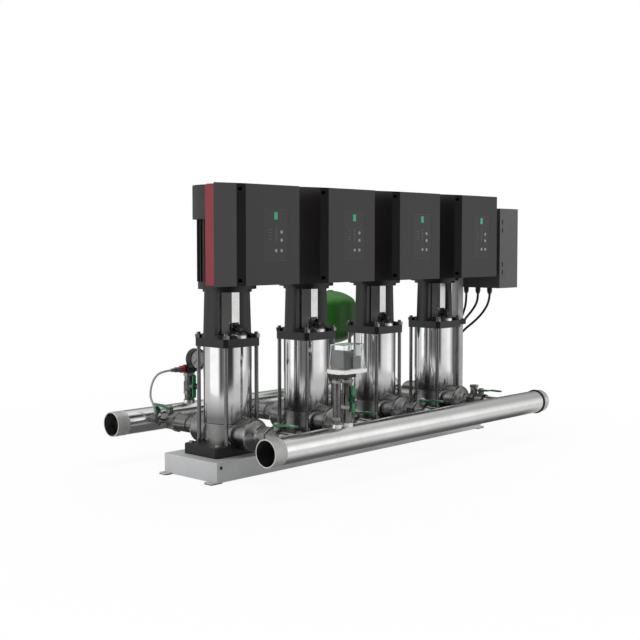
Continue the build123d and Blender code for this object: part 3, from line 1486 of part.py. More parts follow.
# Cabinet: a folded steel box against the post, open on its +X side, with latch slots and hinge pins
cabinet_width = cabinet_back_y - cabinet_front_y
cabinet_height = cabinet_top - cabinet_bottom
cabinet_mid_y = (cabinet_back_y + cabinet_front_y) / 2
body_depth = cabinet_depth - door_thickness - free_gap
hinge_x = cabinet_right - door_thickness / 2
hinge_y = cabinet_back_y + hinge_radius + free_gap
hinge_zs = (cabinet_bottom + hinge_from_end, cabinet_top - hinge_from_end - 2 * hinge_leaf)
slot_zs = [cabinet_bottom + cabinet_height * share for share in (0.2, 0.3, 0.73, 0.83)]
with BuildPart() as cabinet:
    with Locations((cabinet_left + body_depth / 2, cabinet_mid_y, cabinet_bottom)):
        Box(body_depth, cabinet_width, cabinet_height, align=on_bottom)
    with Locations((cabinet_left + cabinet_sheet + body_depth / 2, cabinet_mid_y, cabinet_bottom + cabinet_sheet)):
        inner_room = (body_depth, cabinet_width - 2 * cabinet_sheet, cabinet_height - 2 * cabinet_sheet)
        Box(*inner_room, align=on_bottom, mode=Mode.SUBTRACT)
    with Locations(*[(cabinet_left + 20, cabinet_front_y, z) for z in slot_zs]):
        Box(latch_slot_width, 3 * cabinet_sheet, latch_slot_height, mode=Mode.SUBTRACT)
    with Locations(*[(gland_x, y, cabinet_bottom) for y in gland_places]):
        Cylinder(power_cable_radius + 3, 3 * cabinet_sheet, mode=Mode.SUBTRACT)
    for z in hinge_zs:
        with Locations((hinge_x, hinge_y, z)):
            Cylinder(hinge_radius, hinge_leaf, align=on_bottom)
            Cylinder(hinge_pin_radius, 2 * hinge_leaf, align=on_bottom)
        leaf_length = hinge_x - cabinet_left - body_depth + 2 * hinge_leaf
        with Locations((hinge_x, cabinet_back_y, z)):
            leaf_align = (Align.MAX, Align.MIN, Align.MIN)
            Box(leaf_length, cabinet_sheet, hinge_leaf, align=leaf_align)
with BuildPart() as device_plate:
    with Locations((cabinet_left + cabinet_sheet, cabinet_mid_y, (cabinet_bottom + cabinet_top) / 2)):
        plate_align = (Align.MIN, Align.CENTER, Align.CENTER)
        Box(mount_plate_gap, cabinet_width - 40, cabinet_height - 40, align=plate_align)
device_x = cabinet_left + cabinet_sheet + mount_plate_gap
with BuildPart() as devices:
    for row, height in ((0.3, 70), (0.68, 90)):
        with Locations((device_x, cabinet_mid_y, cabinet_bottom + row * cabinet_height)):
            with GridLocations(0, 40, 1, 4):
                Box(device_depth, device_width, height, align=(Align.MIN, Align.CENTER, Align.CENTER))
cabinet_body = separate([Location()], cabinet.part, device_plate.part, devices.part)
cabinet_body.label = "cabinet_body"
export_step(cabinet_body, "parts/cabinet_body.step")

# Cabinet door: a folded pan with hinge knuckles, a lock and a controller screen
door_left = cabinet_right - door_thickness
with BuildPart() as door_pan:
    with Locations((door_left, cabinet_mid_y, cabinet_bottom)):
        door_align = (Align.MIN, Align.CENTER, Align.MIN)
        Box(door_thickness, cabinet_width, cabinet_height, align=door_align)
    with Locations((door_left, cabinet_mid_y, cabinet_bottom + door_sheet)):
        pan_room = (door_thickness - door_sheet, cabinet_width - 2 * door_sheet, cabinet_height - 2 * door_sheet)
        Box(*pan_room, align=door_align, mode=Mode.SUBTRACT)
    with Locations(*[(hinge_x, hinge_y, z + hinge_leaf + free_gap) for z in hinge_zs]):
        Cylinder(hinge_radius, hinge_leaf - free_gap, align=on_bottom)
    with Locations(*[(hinge_x, cabinet_back_y, z + hinge_leaf + free_gap) for z in hinge_zs]):
        knuckle_align = (Align.CENTER, Align.CENTER, Align.MIN)
        Box(door_thickness / 2, hinge_radius, hinge_leaf - free_gap, align=knuckle_align)
    with Locations(*[(hinge_x, hinge_y, z + hinge_leaf) for z in hinge_zs]):
        Cylinder(hinge_pin_radius + running_gap, 2 * hinge_leaf, align=on_bottom, mode=Mode.SUBTRACT)
screen_z = cabinet_bottom + 0.68 * cabinet_height
with BuildPart() as screen:
    with Locations((cabinet_right, cabinet_mid_y, screen_z)):
        Box(screen_proud, 1.3 * screen_width, 1.5 * screen_height, align=(Align.MIN, Align.CENTER, Align.CENTER))
    with Locations((cabinet_right + screen_proud, cabinet_mid_y, screen_z + 0.15 * screen_height)):
        Box(1, screen_width, screen_height, align=(Align.MIN, Align.CENTER, Align.CENTER), mode=Mode.SUBTRACT)
with BuildPart() as lock:
    with Locations(Location((cabinet_right, cabinet_front_y + 22, screen_z - screen_height), (0, 90, 0))):
        Cylinder(lock_radius, lock_length, align=on_bottom)
cabinet_door = separate([Location()], door_pan.part, screen.part, lock.part)
cabinet_door.label = "cabinet_door"
export_step(cabinet_door, "parts/cabinet_door.step")

# Cable fittings: glands under the cabinet, cable duct and its seal behind the post, clip on the post
gland_bottom = cabinet_bottom - gland_height
gland = turned(
    [
        (0, cabinet_bottom),
        (gland_radius, cabinet_bottom),
        (gland_radius, cabinet_bottom - 0.55 * gland_height),
        (0.7 * gland_radius, gland_bottom),
        (0, gland_bottom),
    ]
)
duct_x = frame_right + 10 + duct_width / 2
duct_front_y = post_front_y + post_size
duct_mid_y = duct_front_y + duct_depth / 2
with BuildPart() as duct:
    with Locations((duct_x, duct_mid_y, duct_bottom)):
        Box(duct_width, duct_depth, duct_top - duct_bottom, align=on_bottom)
    with Locations((duct_x, duct_mid_y, duct_bottom + duct_wall)):
        room = (duct_width - 2 * duct_wall, duct_depth - 2 * duct_wall, duct_top - duct_bottom)
        Box(*room, align=on_bottom, mode=Mode.SUBTRACT)
with BuildPart() as duct_seal:
    with Locations((duct_x, duct_mid_y, duct_top - duct_seal_depth)):
        Box(room[0], room[1], duct_seal_thickness, align=hub_down)
with BuildPart() as clip:
    with Locations((post_x + post_size / 2, post_front_y, clip_z)):
        Box(0.8 * post_size, clip_depth, clip_height, align=(Align.MAX, Align.MAX, Align.CENTER))
    with Locations((post_x + post_size / 2, post_front_y - clip_depth, clip_z)):
        Box(clip_depth, 0.6 * post_size + clip_depth, clip_height, align=(Align.MIN, Align.MIN, Align.CENTER))
cable_fittings = Compound(
    separate([Location((gland_x, y, 0)) for y in gland_places], gland).solids()
    + separate([Location()], duct.part, duct_seal.part, clip.part).solids()
)
cable_fittings.label = "cable_fittings"
export_step(cable_fittings, "parts/cable_fittings.step")

# Three power cables from the glands down to the duct's seal behind the post
seal_top = duct_top - duct_seal_depth
power_routes = [
    [
        (gland_x, gland_places[0], gland_bottom),
        (gland_x, gland_places[0], 532),
        (810, 4, 487),
        (804, 25, 440),
        (799, 38, 388),
        (798, 41, 340),
        (798, 41, seal_top),
    ],
    [
        (gland_x, gland_places[1], gland_bottom),
        (gland_x, gland_places[1], 540),
        (810, -44, 500),
        (808, -8, 462),
        (800, 20, 420),
        (788, 36, 376),
        (784, 41, 335),
        (784, 41, seal_top),
    ],
    [
        (gland_x, gland_places[2], gland_bottom),
        (gland_x, gland_places[2], 546),
        (810, -106, 500),
        (809, -60, 454),
        (805, -8, 416),
        (794, 26, 376),
        (770, 41, 335),
        (770, 41, seal_top),
    ],
]
power_cables = Compound([cable(route, power_cable_radius).solid() for route in power_routes])
power_cables.label = "power_cables"
export_step(power_cables, "parts/power_cables.step")
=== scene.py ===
# %% [markdown]
# # A booster pump set, dressed for its portrait
#
# Four upright pumps stand on one base frame between two steel manifolds. The shapes come from CAD as a
# fixed frame, in metres. This lesson gives each of them a finish, then adds the small pieces that CAD
# leaves out. Every piece rides on a body of the frame, so the valves and the door still turn.

# %% Load the frame
import json
import math

import bmesh
import bpy
from mathutils import Matrix, Vector


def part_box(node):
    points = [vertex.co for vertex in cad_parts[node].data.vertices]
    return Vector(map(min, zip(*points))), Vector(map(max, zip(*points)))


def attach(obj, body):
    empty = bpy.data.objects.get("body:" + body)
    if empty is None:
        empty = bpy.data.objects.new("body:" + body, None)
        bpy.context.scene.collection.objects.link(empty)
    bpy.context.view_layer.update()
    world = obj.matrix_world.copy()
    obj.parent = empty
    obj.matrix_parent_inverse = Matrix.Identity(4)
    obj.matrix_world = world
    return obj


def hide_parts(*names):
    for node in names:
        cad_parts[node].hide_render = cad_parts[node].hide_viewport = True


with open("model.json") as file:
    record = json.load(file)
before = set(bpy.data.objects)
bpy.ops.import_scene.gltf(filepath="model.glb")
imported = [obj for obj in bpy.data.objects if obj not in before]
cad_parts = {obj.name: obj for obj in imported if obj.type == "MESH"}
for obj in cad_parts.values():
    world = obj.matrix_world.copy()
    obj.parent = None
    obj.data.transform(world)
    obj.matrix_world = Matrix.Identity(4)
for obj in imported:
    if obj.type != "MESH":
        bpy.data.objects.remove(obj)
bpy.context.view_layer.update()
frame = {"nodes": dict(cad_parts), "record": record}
nodes = frame["nodes"]
scene = bpy.context.scene
scene.view_settings.view_transform = "Standard"

# %% [markdown]
# ## The camera
#
# The photograph looks along the set from its left front corner, a little above the middle of the pumps.
# A long lens from four metres away keeps the uprights parallel, and a small shift does the rest.

# %% Set up the camera
camera_place = Vector((-3.0795, -2.7901, 0.7865))
camera_turn = math.radians(46.78)
camera_drop = math.radians(3.25)
lens = bpy.data.cameras.new("camera")
lens.lens = 61.3
lens.sensor_width = 36
lens.shift_y = -0.0229
camera = bpy.data.objects.new("camera", lens)
camera.location = camera_place
camera.rotation_euler = (math.pi / 2 - camera_drop, 0, -camera_turn)
scene.collection.objects.link(camera)
scene.camera = camera
print("camera at", [round(v, 3) for v in camera_place])

# %% [markdown]
# ## The cords
#
# A grey lead loops from the pressure sensor down to a probe in the suction manifold. Three black power
# cables leave the glands under the cabinet, sag forwards and go into a duct behind the post. A cord could
# be a mesh tube, but a curve stays smooth with few points: each is a NURBS line with a round section. A
# point's radius scales the bevel, and Blender also counts it into the curve's box, so the bevel is 1 m
# and the points carry the thickness.

# %% Draw a cord as a smooth curve
def metres(point):
    """A point in millimetres, in Blender's metres."""
    return tuple(v / 1000 for v in point)


def cord_curve(name, points, radius):
    """A round cord along a smooth line with these control points, in millimetres."""
    curve = bpy.data.curves.new(name, "CURVE")
    curve.dimensions = "3D"
    curve.bevel_depth = 1.0
    curve.bevel_resolution = 5
    curve.resolution_u = 10
    curve.use_fill_caps = True
    line = curve.splines.new("NURBS")
    line.points.add(len(points) - 1)
    for spot, point in zip(line.points, points):
        spot.co = (*metres(point), 1)
        spot.radius = radius / 1000
    line.order_u = 3
    line.use_endpoint_u = True
    cord = bpy.data.objects.new(name, curve)
    scene.collection.objects.link(cord)
    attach(cord, "root")
    return cord


print("a cord's points are in millimetres")

# %% Lay the sensor's lead
sensor_lead_radius = 4
sensor_route = [
    (-501, 397, 312), (-548, 397, 312), (-587, 391, 292), (-614, 378, 257),
    (-628, 362, 222), (-630, 332.1, 194), (-630, 332.1, 168),
]
sensor_lead = cord_curve("sensor_lead", sensor_route, sensor_lead_radius)
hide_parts("sensor_cable")
print("sensor lead:", len(sensor_route), "points")

# %% Lay the power cables
power_cable_radius = 5
power_routes = {
    "power_cable_1": [
        (810, -9, 572), (810, -9, 532), (810, 4, 487), (804, 25, 440),
        (799, 38, 388), (798, 41, 340), (798, 41, 300),
    ],
    "power_cable_2": [
        (810, -70, 572), (810, -70, 540), (810, -44, 500), (808, -8, 462),
        (800, 20, 420), (788, 36, 376), (784, 41, 335), (784, 41, 300),
    ],
    "power_cable_3": [
        (810, -130, 572), (810, -130, 546), (810, -106, 500), (809, -60, 454),
        (805, -8, 416), (794, 26, 376), (770, 41, 335), (770, 41, 300),
    ],
}
power_cords = {name: cord_curve(name, route, power_cable_radius) for name, route in power_routes.items()}
for cord in power_cords.values():
    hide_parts("power_cables")
print("power cables:", len(power_cords))

# %% [markdown]
# ## Helpers for shader trees
#
# A shader is a tree of nodes, and most of its code makes a node and feeds its sockets. A few short
# functions do that, so that each material below reads as what it mixes.

# %% Make nodes and feed their sockets
def feed(tree, slot, given):
    """Give a socket its number or colour, or link another socket to it."""
    if hasattr(given, "is_output"):
        tree.links.new(given, slot)
    else:
        slot.default_value = given


def math_node(tree, operation, *inputs, clamp=False):
    """A Math node's result; inputs are numbers or sockets."""
    node = tree.nodes.new("ShaderNodeMath")
    node.operation = operation
    node.use_clamp = clamp
    for slot, given in zip(node.inputs, inputs):
        feed(tree, slot, given)
    return node.outputs[0]


def vector_node(tree, operation, *inputs):
    """A Vector Math node that works on the vectors of other sockets."""
    node = tree.nodes.new("ShaderNodeVectorMath")
    node.operation = operation
    for slot, given in zip(node.inputs, inputs):
        tree.links.new(given, slot)
    return node


def split_axes(tree, vector):
    """A vector's X, Y and Z, as sockets by name."""
    node = tree.nodes.new("ShaderNodeSeparateXYZ")
    tree.links.new(vector, node.inputs[0])
    return node.outputs


def object_place(tree):
    """The place on the object, in metres, which stays put when the piece turns."""
    return tree.nodes.new("ShaderNodeTexCoord").outputs["Object"]


def as_colour(given):
    """A grey or a colour as the four values of a colour socket; a socket stays as it is."""
    if isinstance(given, (int, float)):
        return (given, given, given, 1)
    return (*given[:3], 1) if isinstance(given, tuple) else given


def ramp(tree, factor, stops):
    """A Color Ramp's colour; stops are (place, grey)."""
    node = tree.nodes.new("ShaderNodeValToRGB")
    band = node.color_ramp
    while len(band.elements) < len(stops):
        band.elements.new(0.5)
    for element, (place, shade) in zip(band.elements, stops):
        element.position = place
        element.color = as_colour(shade)
    tree.links.new(factor, node.inputs["Fac"])
    return node.outputs["Color"]


def mix_colour(tree, factor, first, second):
    """A Mix node's colour; each input is a number, a colour or a socket."""
    node = tree.nodes.new("ShaderNodeMix")
    node.data_type = "RGBA"
    slots = {slot.name: slot for slot in node.inputs if slot.enabled}
    feed(tree, slots["Factor"], factor)
    feed(tree, slots["A"], as_colour(first))
    feed(tree, slots["B"], as_colour(second))
    return next(slot for slot in node.outputs if slot.enabled)


def between(tree, share, first, second):
    """A number between two others, by a share."""
    step = math_node(tree, "SUBTRACT", second, first)
    return math_node(tree, "MULTIPLY_ADD", step, share, first)


print("node helpers ready")

# %% [markdown]
# ## Light, floor and what the metal sees
#
# Polished steel has no colour of its own: it shows the room. The room here has a white wall on the
# left, a dim gap behind the camera and a pale wall on the right, which draws the upright bands that the
# pumps show. Black paint is as good a mirror, only four parts in a hundred, so the same walls turn its
# flat sides grey and leave its corners black. Matte surfaces see an even grey, so that a paint renders
# about as it is mixed. A picture of a studio could do this too, but a ramp of greys needs no file.

# %% Paint the room
# A wall's place runs once round: 0 is ahead of the camera, 0.25 on its left, 0.5 behind, 0.75 on its right.
wall_greys = [
    (0.0, 0.12), (0.1, 0.3), (0.15, 0.7), (0.25, 0.8), (0.268, 1.4),
    (0.383, 1.4), (0.403, 0.6), (0.422, 0.05), (0.445, 0.2), (0.475, 0.18),
    (0.505, 0.08), (0.53, 0.04), (0.575, 0.05), (0.61, 0.85), (0.69, 1.05),
    (0.725, 1.25), (0.77, 1.15), (0.8, 0.7), (0.86, 0.2), (1.0, 0.12),
]
# Floor and ceiling take over from the walls by height: 0 is straight down and 1 straight up.
ceiling_shares = [(0.0, 1.0), (0.25, 0.8), (0.36, 0.0), (0.64, 0.0), (0.8, 1.0)]
ceiling_greys = [(0.0, 0.1), (0.4, 0.2), (0.6, 0.4), (0.8, 0.5), (0.92, 0.95)]
matte_grey = 0.42
backdrop_white = 1.0


def build_world():
    """Even grey for matte surfaces, the painted room for gloss, and white behind all for the camera."""
    world = bpy.data.worlds.new("studio")
    scene.world = world
    world.use_nodes = True
    tree = world.node_tree
    tree.nodes.clear()
    direction = tree.nodes.new("ShaderNodeTexCoord").outputs["Generated"]
    turn = tree.nodes.new("ShaderNodeMapping")
    turn.vector_type = "POINT"
    turn.inputs["Rotation"].default_value = (0, 0, camera_turn + math.pi / 2)
    tree.links.new(direction, turn.inputs["Vector"])
    way = split_axes(tree, turn.outputs["Vector"])
    around = math_node(tree, "ARCTAN2", way["Y"], way["X"])
    around = math_node(tree, "DIVIDE", around, 2 * math.pi)
    around = math_node(tree, "ADD", around, 0.5)
    height = math_node(tree, "MULTIPLY_ADD", way["Z"], 0.5, 0.5)
    walls = ramp(tree, around, wall_greys)
    room = mix_colour(tree, ramp(tree, height, ceiling_shares), walls, ramp(tree, height, ceiling_greys))
    path = tree.nodes.new("ShaderNodeLightPath").outputs
    backdrop = math_node(tree, "MAXIMUM", path["Is Camera Ray"], path["Is Transmission Ray"])
    seen = mix_colour(tree, path["Is Glossy Ray"], matte_grey, room)
    seen = mix_colour(tree, backdrop, seen, backdrop_white)
    light = tree.nodes.new("ShaderNodeBackground")
    tree.links.new(seen, light.inputs["Color"])
    out = tree.nodes.new("ShaderNodeOutputWorld")
    tree.links.new(light.outputs[0], out.inputs["Surface"])


build_world()
print("room:", len(wall_greys), "greys round the walls")

# %% [markdown]
# Three large soft lamps shape the matte surfaces: one on each side and one overhead. They are hidden from
# gloss, because a lamp's outline in black paint would look like a white stain.

# %% Hang the lamps
aim = Vector((0, 0, 0.5))
lamps = {
    "left_softbox": ((-3.05, 1.75, 0.9), (1.1, 2.0), 42),
    "right_softbox": ((2.7, -2.2, 1.3), (1.4, 1.8), 52),
    "top_softbox": ((0.1, 0.3, 3.2), (2.6, 2.0), 55),
}
for name, (place, size, watts) in lamps.items():
    light = bpy.data.lights.new(name, "AREA")
    light.shape = "RECTANGLE"
    light.size, light.size_y = size
    light.energy = watts
    lamp = bpy.data.objects.new(name, light)
    lamp.location = place
    lamp.rotation_euler = (aim - Vector(place)).to_track_quat("-Z", "Y").to_euler()
    lamp.visible_glossy = False
    scene.collection.objects.link(lamp)
print("lamps:", len(lamps))

# %% [markdown]
# The floor is a pale disc. The camera sees it almost white, with the set's soft shadow on it, and white at
# its rim, so that it melts into the backdrop. The metal sees a painted shadow on it: dark under the set,
# and lighter in the open.

# %% Lay the floor
floor_radius = 2.6
floor_drop = 0.0005
floor_paint = 0.86
# A fade is (slope, offset): a share from 0 to 1 that grows with a distance in metres.
rim_fade = (0.8, -0.8)
# The side and end fades draw the edge of a painted shadow under the set, which only the metal sees.
shadow_pool_side_fade = (7.0, -3.1)
shadow_pool_end_fade = (5.0, -3.9)
# What the metal and the camera see of the floor's glow is (gain, least) of such a share; for the metal the
# least is the painted shadow.
metal_sees_painted_shadow = (0.6, 0.1)
camera_sees = (0.07, 0.93)


def build_floor():
    """A pale disc under the set: white at its rim, and for metal darkened by a painted shadow under the
    set.
    """
    mesh = bpy.data.meshes.new("floor")
    shape = bmesh.new()
    bmesh.ops.create_circle(shape, cap_ends=True, radius=floor_radius, segments=96)
    shape.to_mesh(mesh)
    shape.free()
    floor = bpy.data.objects.new("floor", mesh)
    floor.location = (0, 0, -floor_drop)
    scene.collection.objects.link(floor)
    material = bpy.data.materials.new("pale_floor")
    material.use_nodes = True
    tree = material.node_tree
    tree.nodes.clear()
    place = object_place(tree)
    axes = split_axes(tree, place)
    reach = vector_node(tree, "LENGTH", place).outputs["Value"]
    rim = math_node(tree, "MULTIPLY_ADD", reach, *rim_fade, clamp=True)
    # A painted shadow for the metal: the glow is dark over a box under the set and lighter outside it.
    across = math_node(tree, "ABSOLUTE", axes["Y"])
    across = math_node(tree, "MULTIPLY_ADD", across, *shadow_pool_side_fade, clamp=True)
    along = math_node(tree, "ABSOLUTE", axes["X"])
    along = math_node(tree, "MULTIPLY_ADD", along, *shadow_pool_end_fade, clamp=True)
    outside_painted_shadow = math_node(tree, "MAXIMUM", across, along)
    metal_glow_with_painted_shadow = math_node(tree, "MULTIPLY_ADD", outside_painted_shadow, *metal_sees_painted_shadow)
    path = tree.nodes.new("ShaderNodeLightPath").outputs
    glow = tree.nodes.new("ShaderNodeEmission")
    tree.links.new(mix_colour(tree, path["Is Glossy Ray"], 1.0, metal_glow_with_painted_shadow), glow.inputs["Color"])
    matte = tree.nodes.new("ShaderNodeBsdfDiffuse")
    matte.inputs["Color"].default_value = as_colour(floor_paint)
    direct = math_node(tree, "MAXIMUM", path["Is Camera Ray"], path["Is Transmission Ray"])
    share = math_node(tree, "MULTIPLY_ADD", rim, *camera_sees)
    share = math_node(tree, "MULTIPLY", direct, share)
    share = math_node(tree, "MAXIMUM", share, path["Is Glossy Ray"])
    both = tree.nodes.new("ShaderNodeMixShader")
    tree.links.new(share, both.inputs[0])
    tree.links.new(matte.outputs[0], both.inputs[1])
    tree.links.new(glow.outputs[0], both.inputs[2])
    out = tree.nodes.new("ShaderNodeOutputMaterial")
    tree.links.new(both.outputs[0], out.inputs["Surface"])
    mesh.materials.append(material)


build_floor()
print("floor: a disc", 2 * floor_radius, "m wide")

# %% [markdown]
# ## Shared effects
#
# Several finishes share the same small faults. Cast paint has a fine pebble, handled metal has cloudy
# patches where it has dulled, and turned or drawn steel has fine lines along one way. Each effect is a
# node group with named sockets, made once and set differently in each material.

# %% Start a node group
def new_group(name, inputs, outputs):
    """An empty shader group; inputs are (name, kind, default), outputs (name, kind)."""
    group = bpy.data.node_groups.new(name, "ShaderNodeTree")
    for title, kind, default in inputs:
        socket = group.interface.new_socket(title, in_out="INPUT", socket_type="NodeSocket" + kind)
        socket.default_value = default
    for title, kind in outputs:
        group.interface.new_socket(title, in_out="OUTPUT", socket_type="NodeSocket" + kind)
    start = group.nodes.new("NodeGroupInput")
    end = group.nodes.new("NodeGroupOutput")
    return group, start.outputs, end.inputs


def noise(tree, place, scale, detail, roughness=0.5):
    """A Noise Texture's value on a place."""
    node = tree.nodes.new("ShaderNodeTexNoise")
    node.inputs["Detail"].default_value = detail
    node.inputs["Roughness"].default_value = roughness
    tree.links.new(place, node.inputs["Vector"])
    feed(tree, node.inputs["Scale"], scale)
    return node.outputs["Fac"]


print("groups read their settings through named sockets")

# %% Group: cloudy patches
fine_cloud_scale = 7.0
fine_cloud_share = 0.35
cloud_contrast = (4.0, -2.2)


def make_cloudy_group():
    """Patches: a colour and a roughness that drift between two values."""
    group, given, made = new_group(
        "cloudy_patches",
        [("Colour", "Color", (0.5, 0.5, 0.5, 1)), ("Patch colour", "Color", (0.3, 0.3, 0.3, 1)),
         ("Roughness", "Float", 0.4), ("Patch roughness", "Float", 0.6),
         ("Scale", "Float", 12.0), ("Amount", "Float", 0.5)],
        [("Colour", "Color"), ("Roughness", "Float")],
    )
    place = object_place(group)
    broad = noise(group, place, given["Scale"], 4)
    fine = noise(group, place, math_node(group, "MULTIPLY", given["Scale"], fine_cloud_scale), 2)
    both = math_node(group, "MULTIPLY_ADD", fine, fine_cloud_share, broad)
    patch = math_node(group, "MULTIPLY_ADD", both, *cloud_contrast, clamp=True)
    patch = math_node(group, "MULTIPLY", patch, given["Amount"])
    colour = mix_colour(group, patch, given["Colour"], given["Patch colour"])
    group.links.new(colour, made["Colour"])
    rough = between(group, patch, given["Roughness"], given["Patch roughness"])
    group.links.new(rough, made["Roughness"])
    return group


cloudy_group = make_cloudy_group()
print("group:", cloudy_group.name)

# %% Group: pebble
coarse_pebble_scale = 0.23
coarse_pebble_share = 0.6


def make_pebble_group():
    """A fine pebbled height, as on cast paint or textured plastic."""
    group, given, made = new_group("pebble", [("Scale", "Float", 400.0)], [("Height", "Float")])
    place = object_place(group)
    fine = noise(group, place, given["Scale"], 2, 0.6)
    coarse = noise(group, place, math_node(group, "MULTIPLY", given["Scale"], coarse_pebble_scale), 2)
    height = math_node(group, "MULTIPLY_ADD", coarse, coarse_pebble_share, fine)
    group.links.new(height, made["Height"])
    return group


pebble_group = make_pebble_group()
print("group:", pebble_group.name)

# %% Group: drawn lines
def make_lines_group():
    """Fine drawn lines: noise stretched by a vector, as a height and a change of roughness."""
    group, given, made = new_group(
        "drawn_lines",
        [("Stretch", "Vector", (1.0, 1.0, 0.02)), ("Scale", "Float", 900.0),
         ("Roughness", "Float", 0.2), ("Spread", "Float", 0.12)],
        [("Height", "Float"), ("Roughness", "Float")],
    )
    squeezed = vector_node(group, "MULTIPLY", object_place(group), given["Stretch"]).outputs[0]
    lines = noise(group, squeezed, given["Scale"], 3, 0.6)
    group.links.new(lines, made["Height"])
    centred = math_node(group, "SUBTRACT", lines, 0.5)
    rough = math_node(group, "MULTIPLY_ADD", centred, given["Spread"], given["Roughness"])
    group.links.new(rough, made["Roughness"])
    return group


lines_group = make_lines_group()
print("group:", lines_group.name)

# %% Group: settled dust
dust_scale = 35.0
upward = (2.0, -1.0)


def make_dust_group():
    """Dust that settles on faces that look up, and dulls them."""
    group, given, made = new_group(
        "settled_dust",
        [("Colour", "Color", (0.1, 0.1, 0.1, 1)), ("Dust", "Color", (0.35, 0.34, 0.32, 1)),
         ("Amount", "Float", 0.15)],
        [("Colour", "Color")],
    )
    normal = group.nodes.new("ShaderNodeNewGeometry").outputs["Normal"]
    up = math_node(group, "MULTIPLY_ADD", split_axes(group, normal)["Z"], *upward, clamp=True)
    share = math_node(group, "MULTIPLY", up, noise(group, object_place(group), dust_scale, 4))
    share = math_node(group, "MULTIPLY", share, given["Amount"])
    colour = mix_colour(group, share, given["Colour"], given["Dust"])
    group.links.new(colour, made["Colour"])
    return group


dust_group = make_dust_group()
print("group:", dust_group.name)

# %% [markdown]
# Some CAD parts are one node but not one finish: a valve's lever is green and its stem is steel. The mesh
# could be cut and given two materials, but a CAD mesh isn't changed here. A mask that is 1 inside a box
# does the same job in the material.

# %% Group: box zone
def make_zone_group():
    """A mask that is 1 inside a box, and fades in from its faces over a soft edge."""
    group, given, made = new_group(
        "box_zone",
        [("Low", "Vector", (-1.0, -1.0, -1.0)), ("High", "Vector", (1.0, 1.0, 1.0)),
         ("Soft", "Float", 0.0001)],
        [("Mask", "Float")],
    )
    place = object_place(group)
    mask = 1.0
    for first, second in ((place, given["Low"]), (given["High"], place)):
        inside = split_axes(group, vector_node(group, "SUBTRACT", first, second).outputs[0])
        for axis in "XYZ":
            above = math_node(group, "DIVIDE", inside[axis], given["Soft"], clamp=True)
            mask = math_node(group, "MULTIPLY", above, mask)
    group.links.new(mask, made["Mask"])
    return group


zone_group = make_zone_group()
print("group:", zone_group.name)

# %% [markdown]
# ## The finishes
#
# One function lays out every opaque finish: cloudy patches feed colour and roughness, dust settles on
# top, and a pebble or drawn lines feed a shallow bump. Paint is mixed from screen values, because that is
# how a colour is read off a photograph.

# %% Turn screen colours into light
def grey(level):
    """A screen grey of 0 to 255 as light, by the screen's own curve."""
    share = level / 255
    return share / 12.92 if share <= 0.04045 else ((share + 0.055) / 1.055) ** 2.4


def paint(red, green, blue):
    """A screen colour as light."""
    return (grey(red), grey(green), grey(blue), 1)


def group_node(tree, group, **settings):
    """A group's node, with sockets set by name; an underscore stands for a space."""
    node = tree.nodes.new("ShaderNodeGroup")
    node.node_tree = group
    for key, given in settings.items():
        feed(tree, node.inputs[key.replace("_", " ")], given)
    return node


print("middle grey on a screen is", round(grey(128), 3), "as light")

# %% Lay out one finish
patch_darkening = 0.75
patch_dulling = 0.12
bump_height = 0.0002


def add_zones(tree, zones, tint, gloss, metal):
    """The colour, roughness and metal with each zone's own laid over them inside its box."""
    for low, high, zone_colour, zone_metal, zone_rough, soft in zones:
        mask = group_node(tree, zone_group, Low=low, High=high, Soft=soft).outputs["Mask"]
        tint = mix_colour(tree, mask, tint, zone_colour)
        gloss = between(tree, mask, gloss, zone_rough)
        metal = between(tree, mask, metal, zone_metal)
    return tint, gloss, metal


def add_bump(tree, shader, height, depth):
    """A shallow bump from a height."""
    bump = tree.nodes.new("ShaderNodeBump")
    bump.inputs["Distance"].default_value = bump_height
    bump.inputs["Strength"].default_value = depth
    tree.links.new(height, bump.inputs["Height"])
    tree.links.new(bump.outputs["Normal"], shader.inputs["Normal"])


def finish(name, colour, patch=None, metal=0.0, rough=0.5, patch_rough=None, scale=12.0, amount=0.5,
           dust=0.0, pebble=0.0, pebble_scale=900.0, lines=None, line_depth=0.0, coat=0.0, specular=0.5,
           zones=()):
    """An opaque finish: patches, dust, zones and a shallow bump over one Principled shader."""
    material = bpy.data.materials.new(name)
    material.use_nodes = True
    material.diffuse_color = colour
    tree = material.node_tree
    shader = tree.nodes["Principled BSDF"]
    shader.inputs["Metallic"].default_value = metal
    shader.inputs["Coat Weight"].default_value = coat
    shader.inputs["Specular IOR Level"].default_value = specular
    if patch is None:
        patch = as_colour(tuple(patch_darkening * v for v in colour[:3]))
    if patch_rough is None:
        patch_rough = rough + patch_dulling
    clouds = group_node(tree, cloudy_group, Colour=colour, Patch_colour=patch, Roughness=rough,
                        Patch_roughness=patch_rough, Scale=scale, Amount=amount)
    tint = clouds.outputs["Colour"]
    gloss = clouds.outputs["Roughness"]
    if dust:
        tint = group_node(tree, dust_group, Colour=tint, Amount=dust).outputs["Colour"]
    if lines:
        drawn = group_node(tree, lines_group, Stretch=lines, Roughness=gloss)
        gloss = drawn.outputs["Roughness"]
        add_bump(tree, shader, drawn.outputs["Height"], line_depth)
    elif pebble:
        grain = group_node(tree, pebble_group, Scale=pebble_scale)
        add_bump(tree, shader, grain.outputs["Height"], pebble)
    if zones:
        tint, gloss, metal = add_zones(tree, zones, tint, gloss, metal)
        tree.links.new(metal, shader.inputs["Metallic"])
    tree.links.new(tint, shader.inputs["Base Color"])
    tree.links.new(gloss, shader.inputs["Roughness"])
    return material


print("one layout for every opaque finish")

# %% Mix finishes by name
finishes = {}
upright = (1.0, 1.0, 0.015)
lengthwise = (0.015, 1.0, 1.0)
far = 2000
bare_steel = (190, 190, 190)
moulded_black = (17, 17, 18)


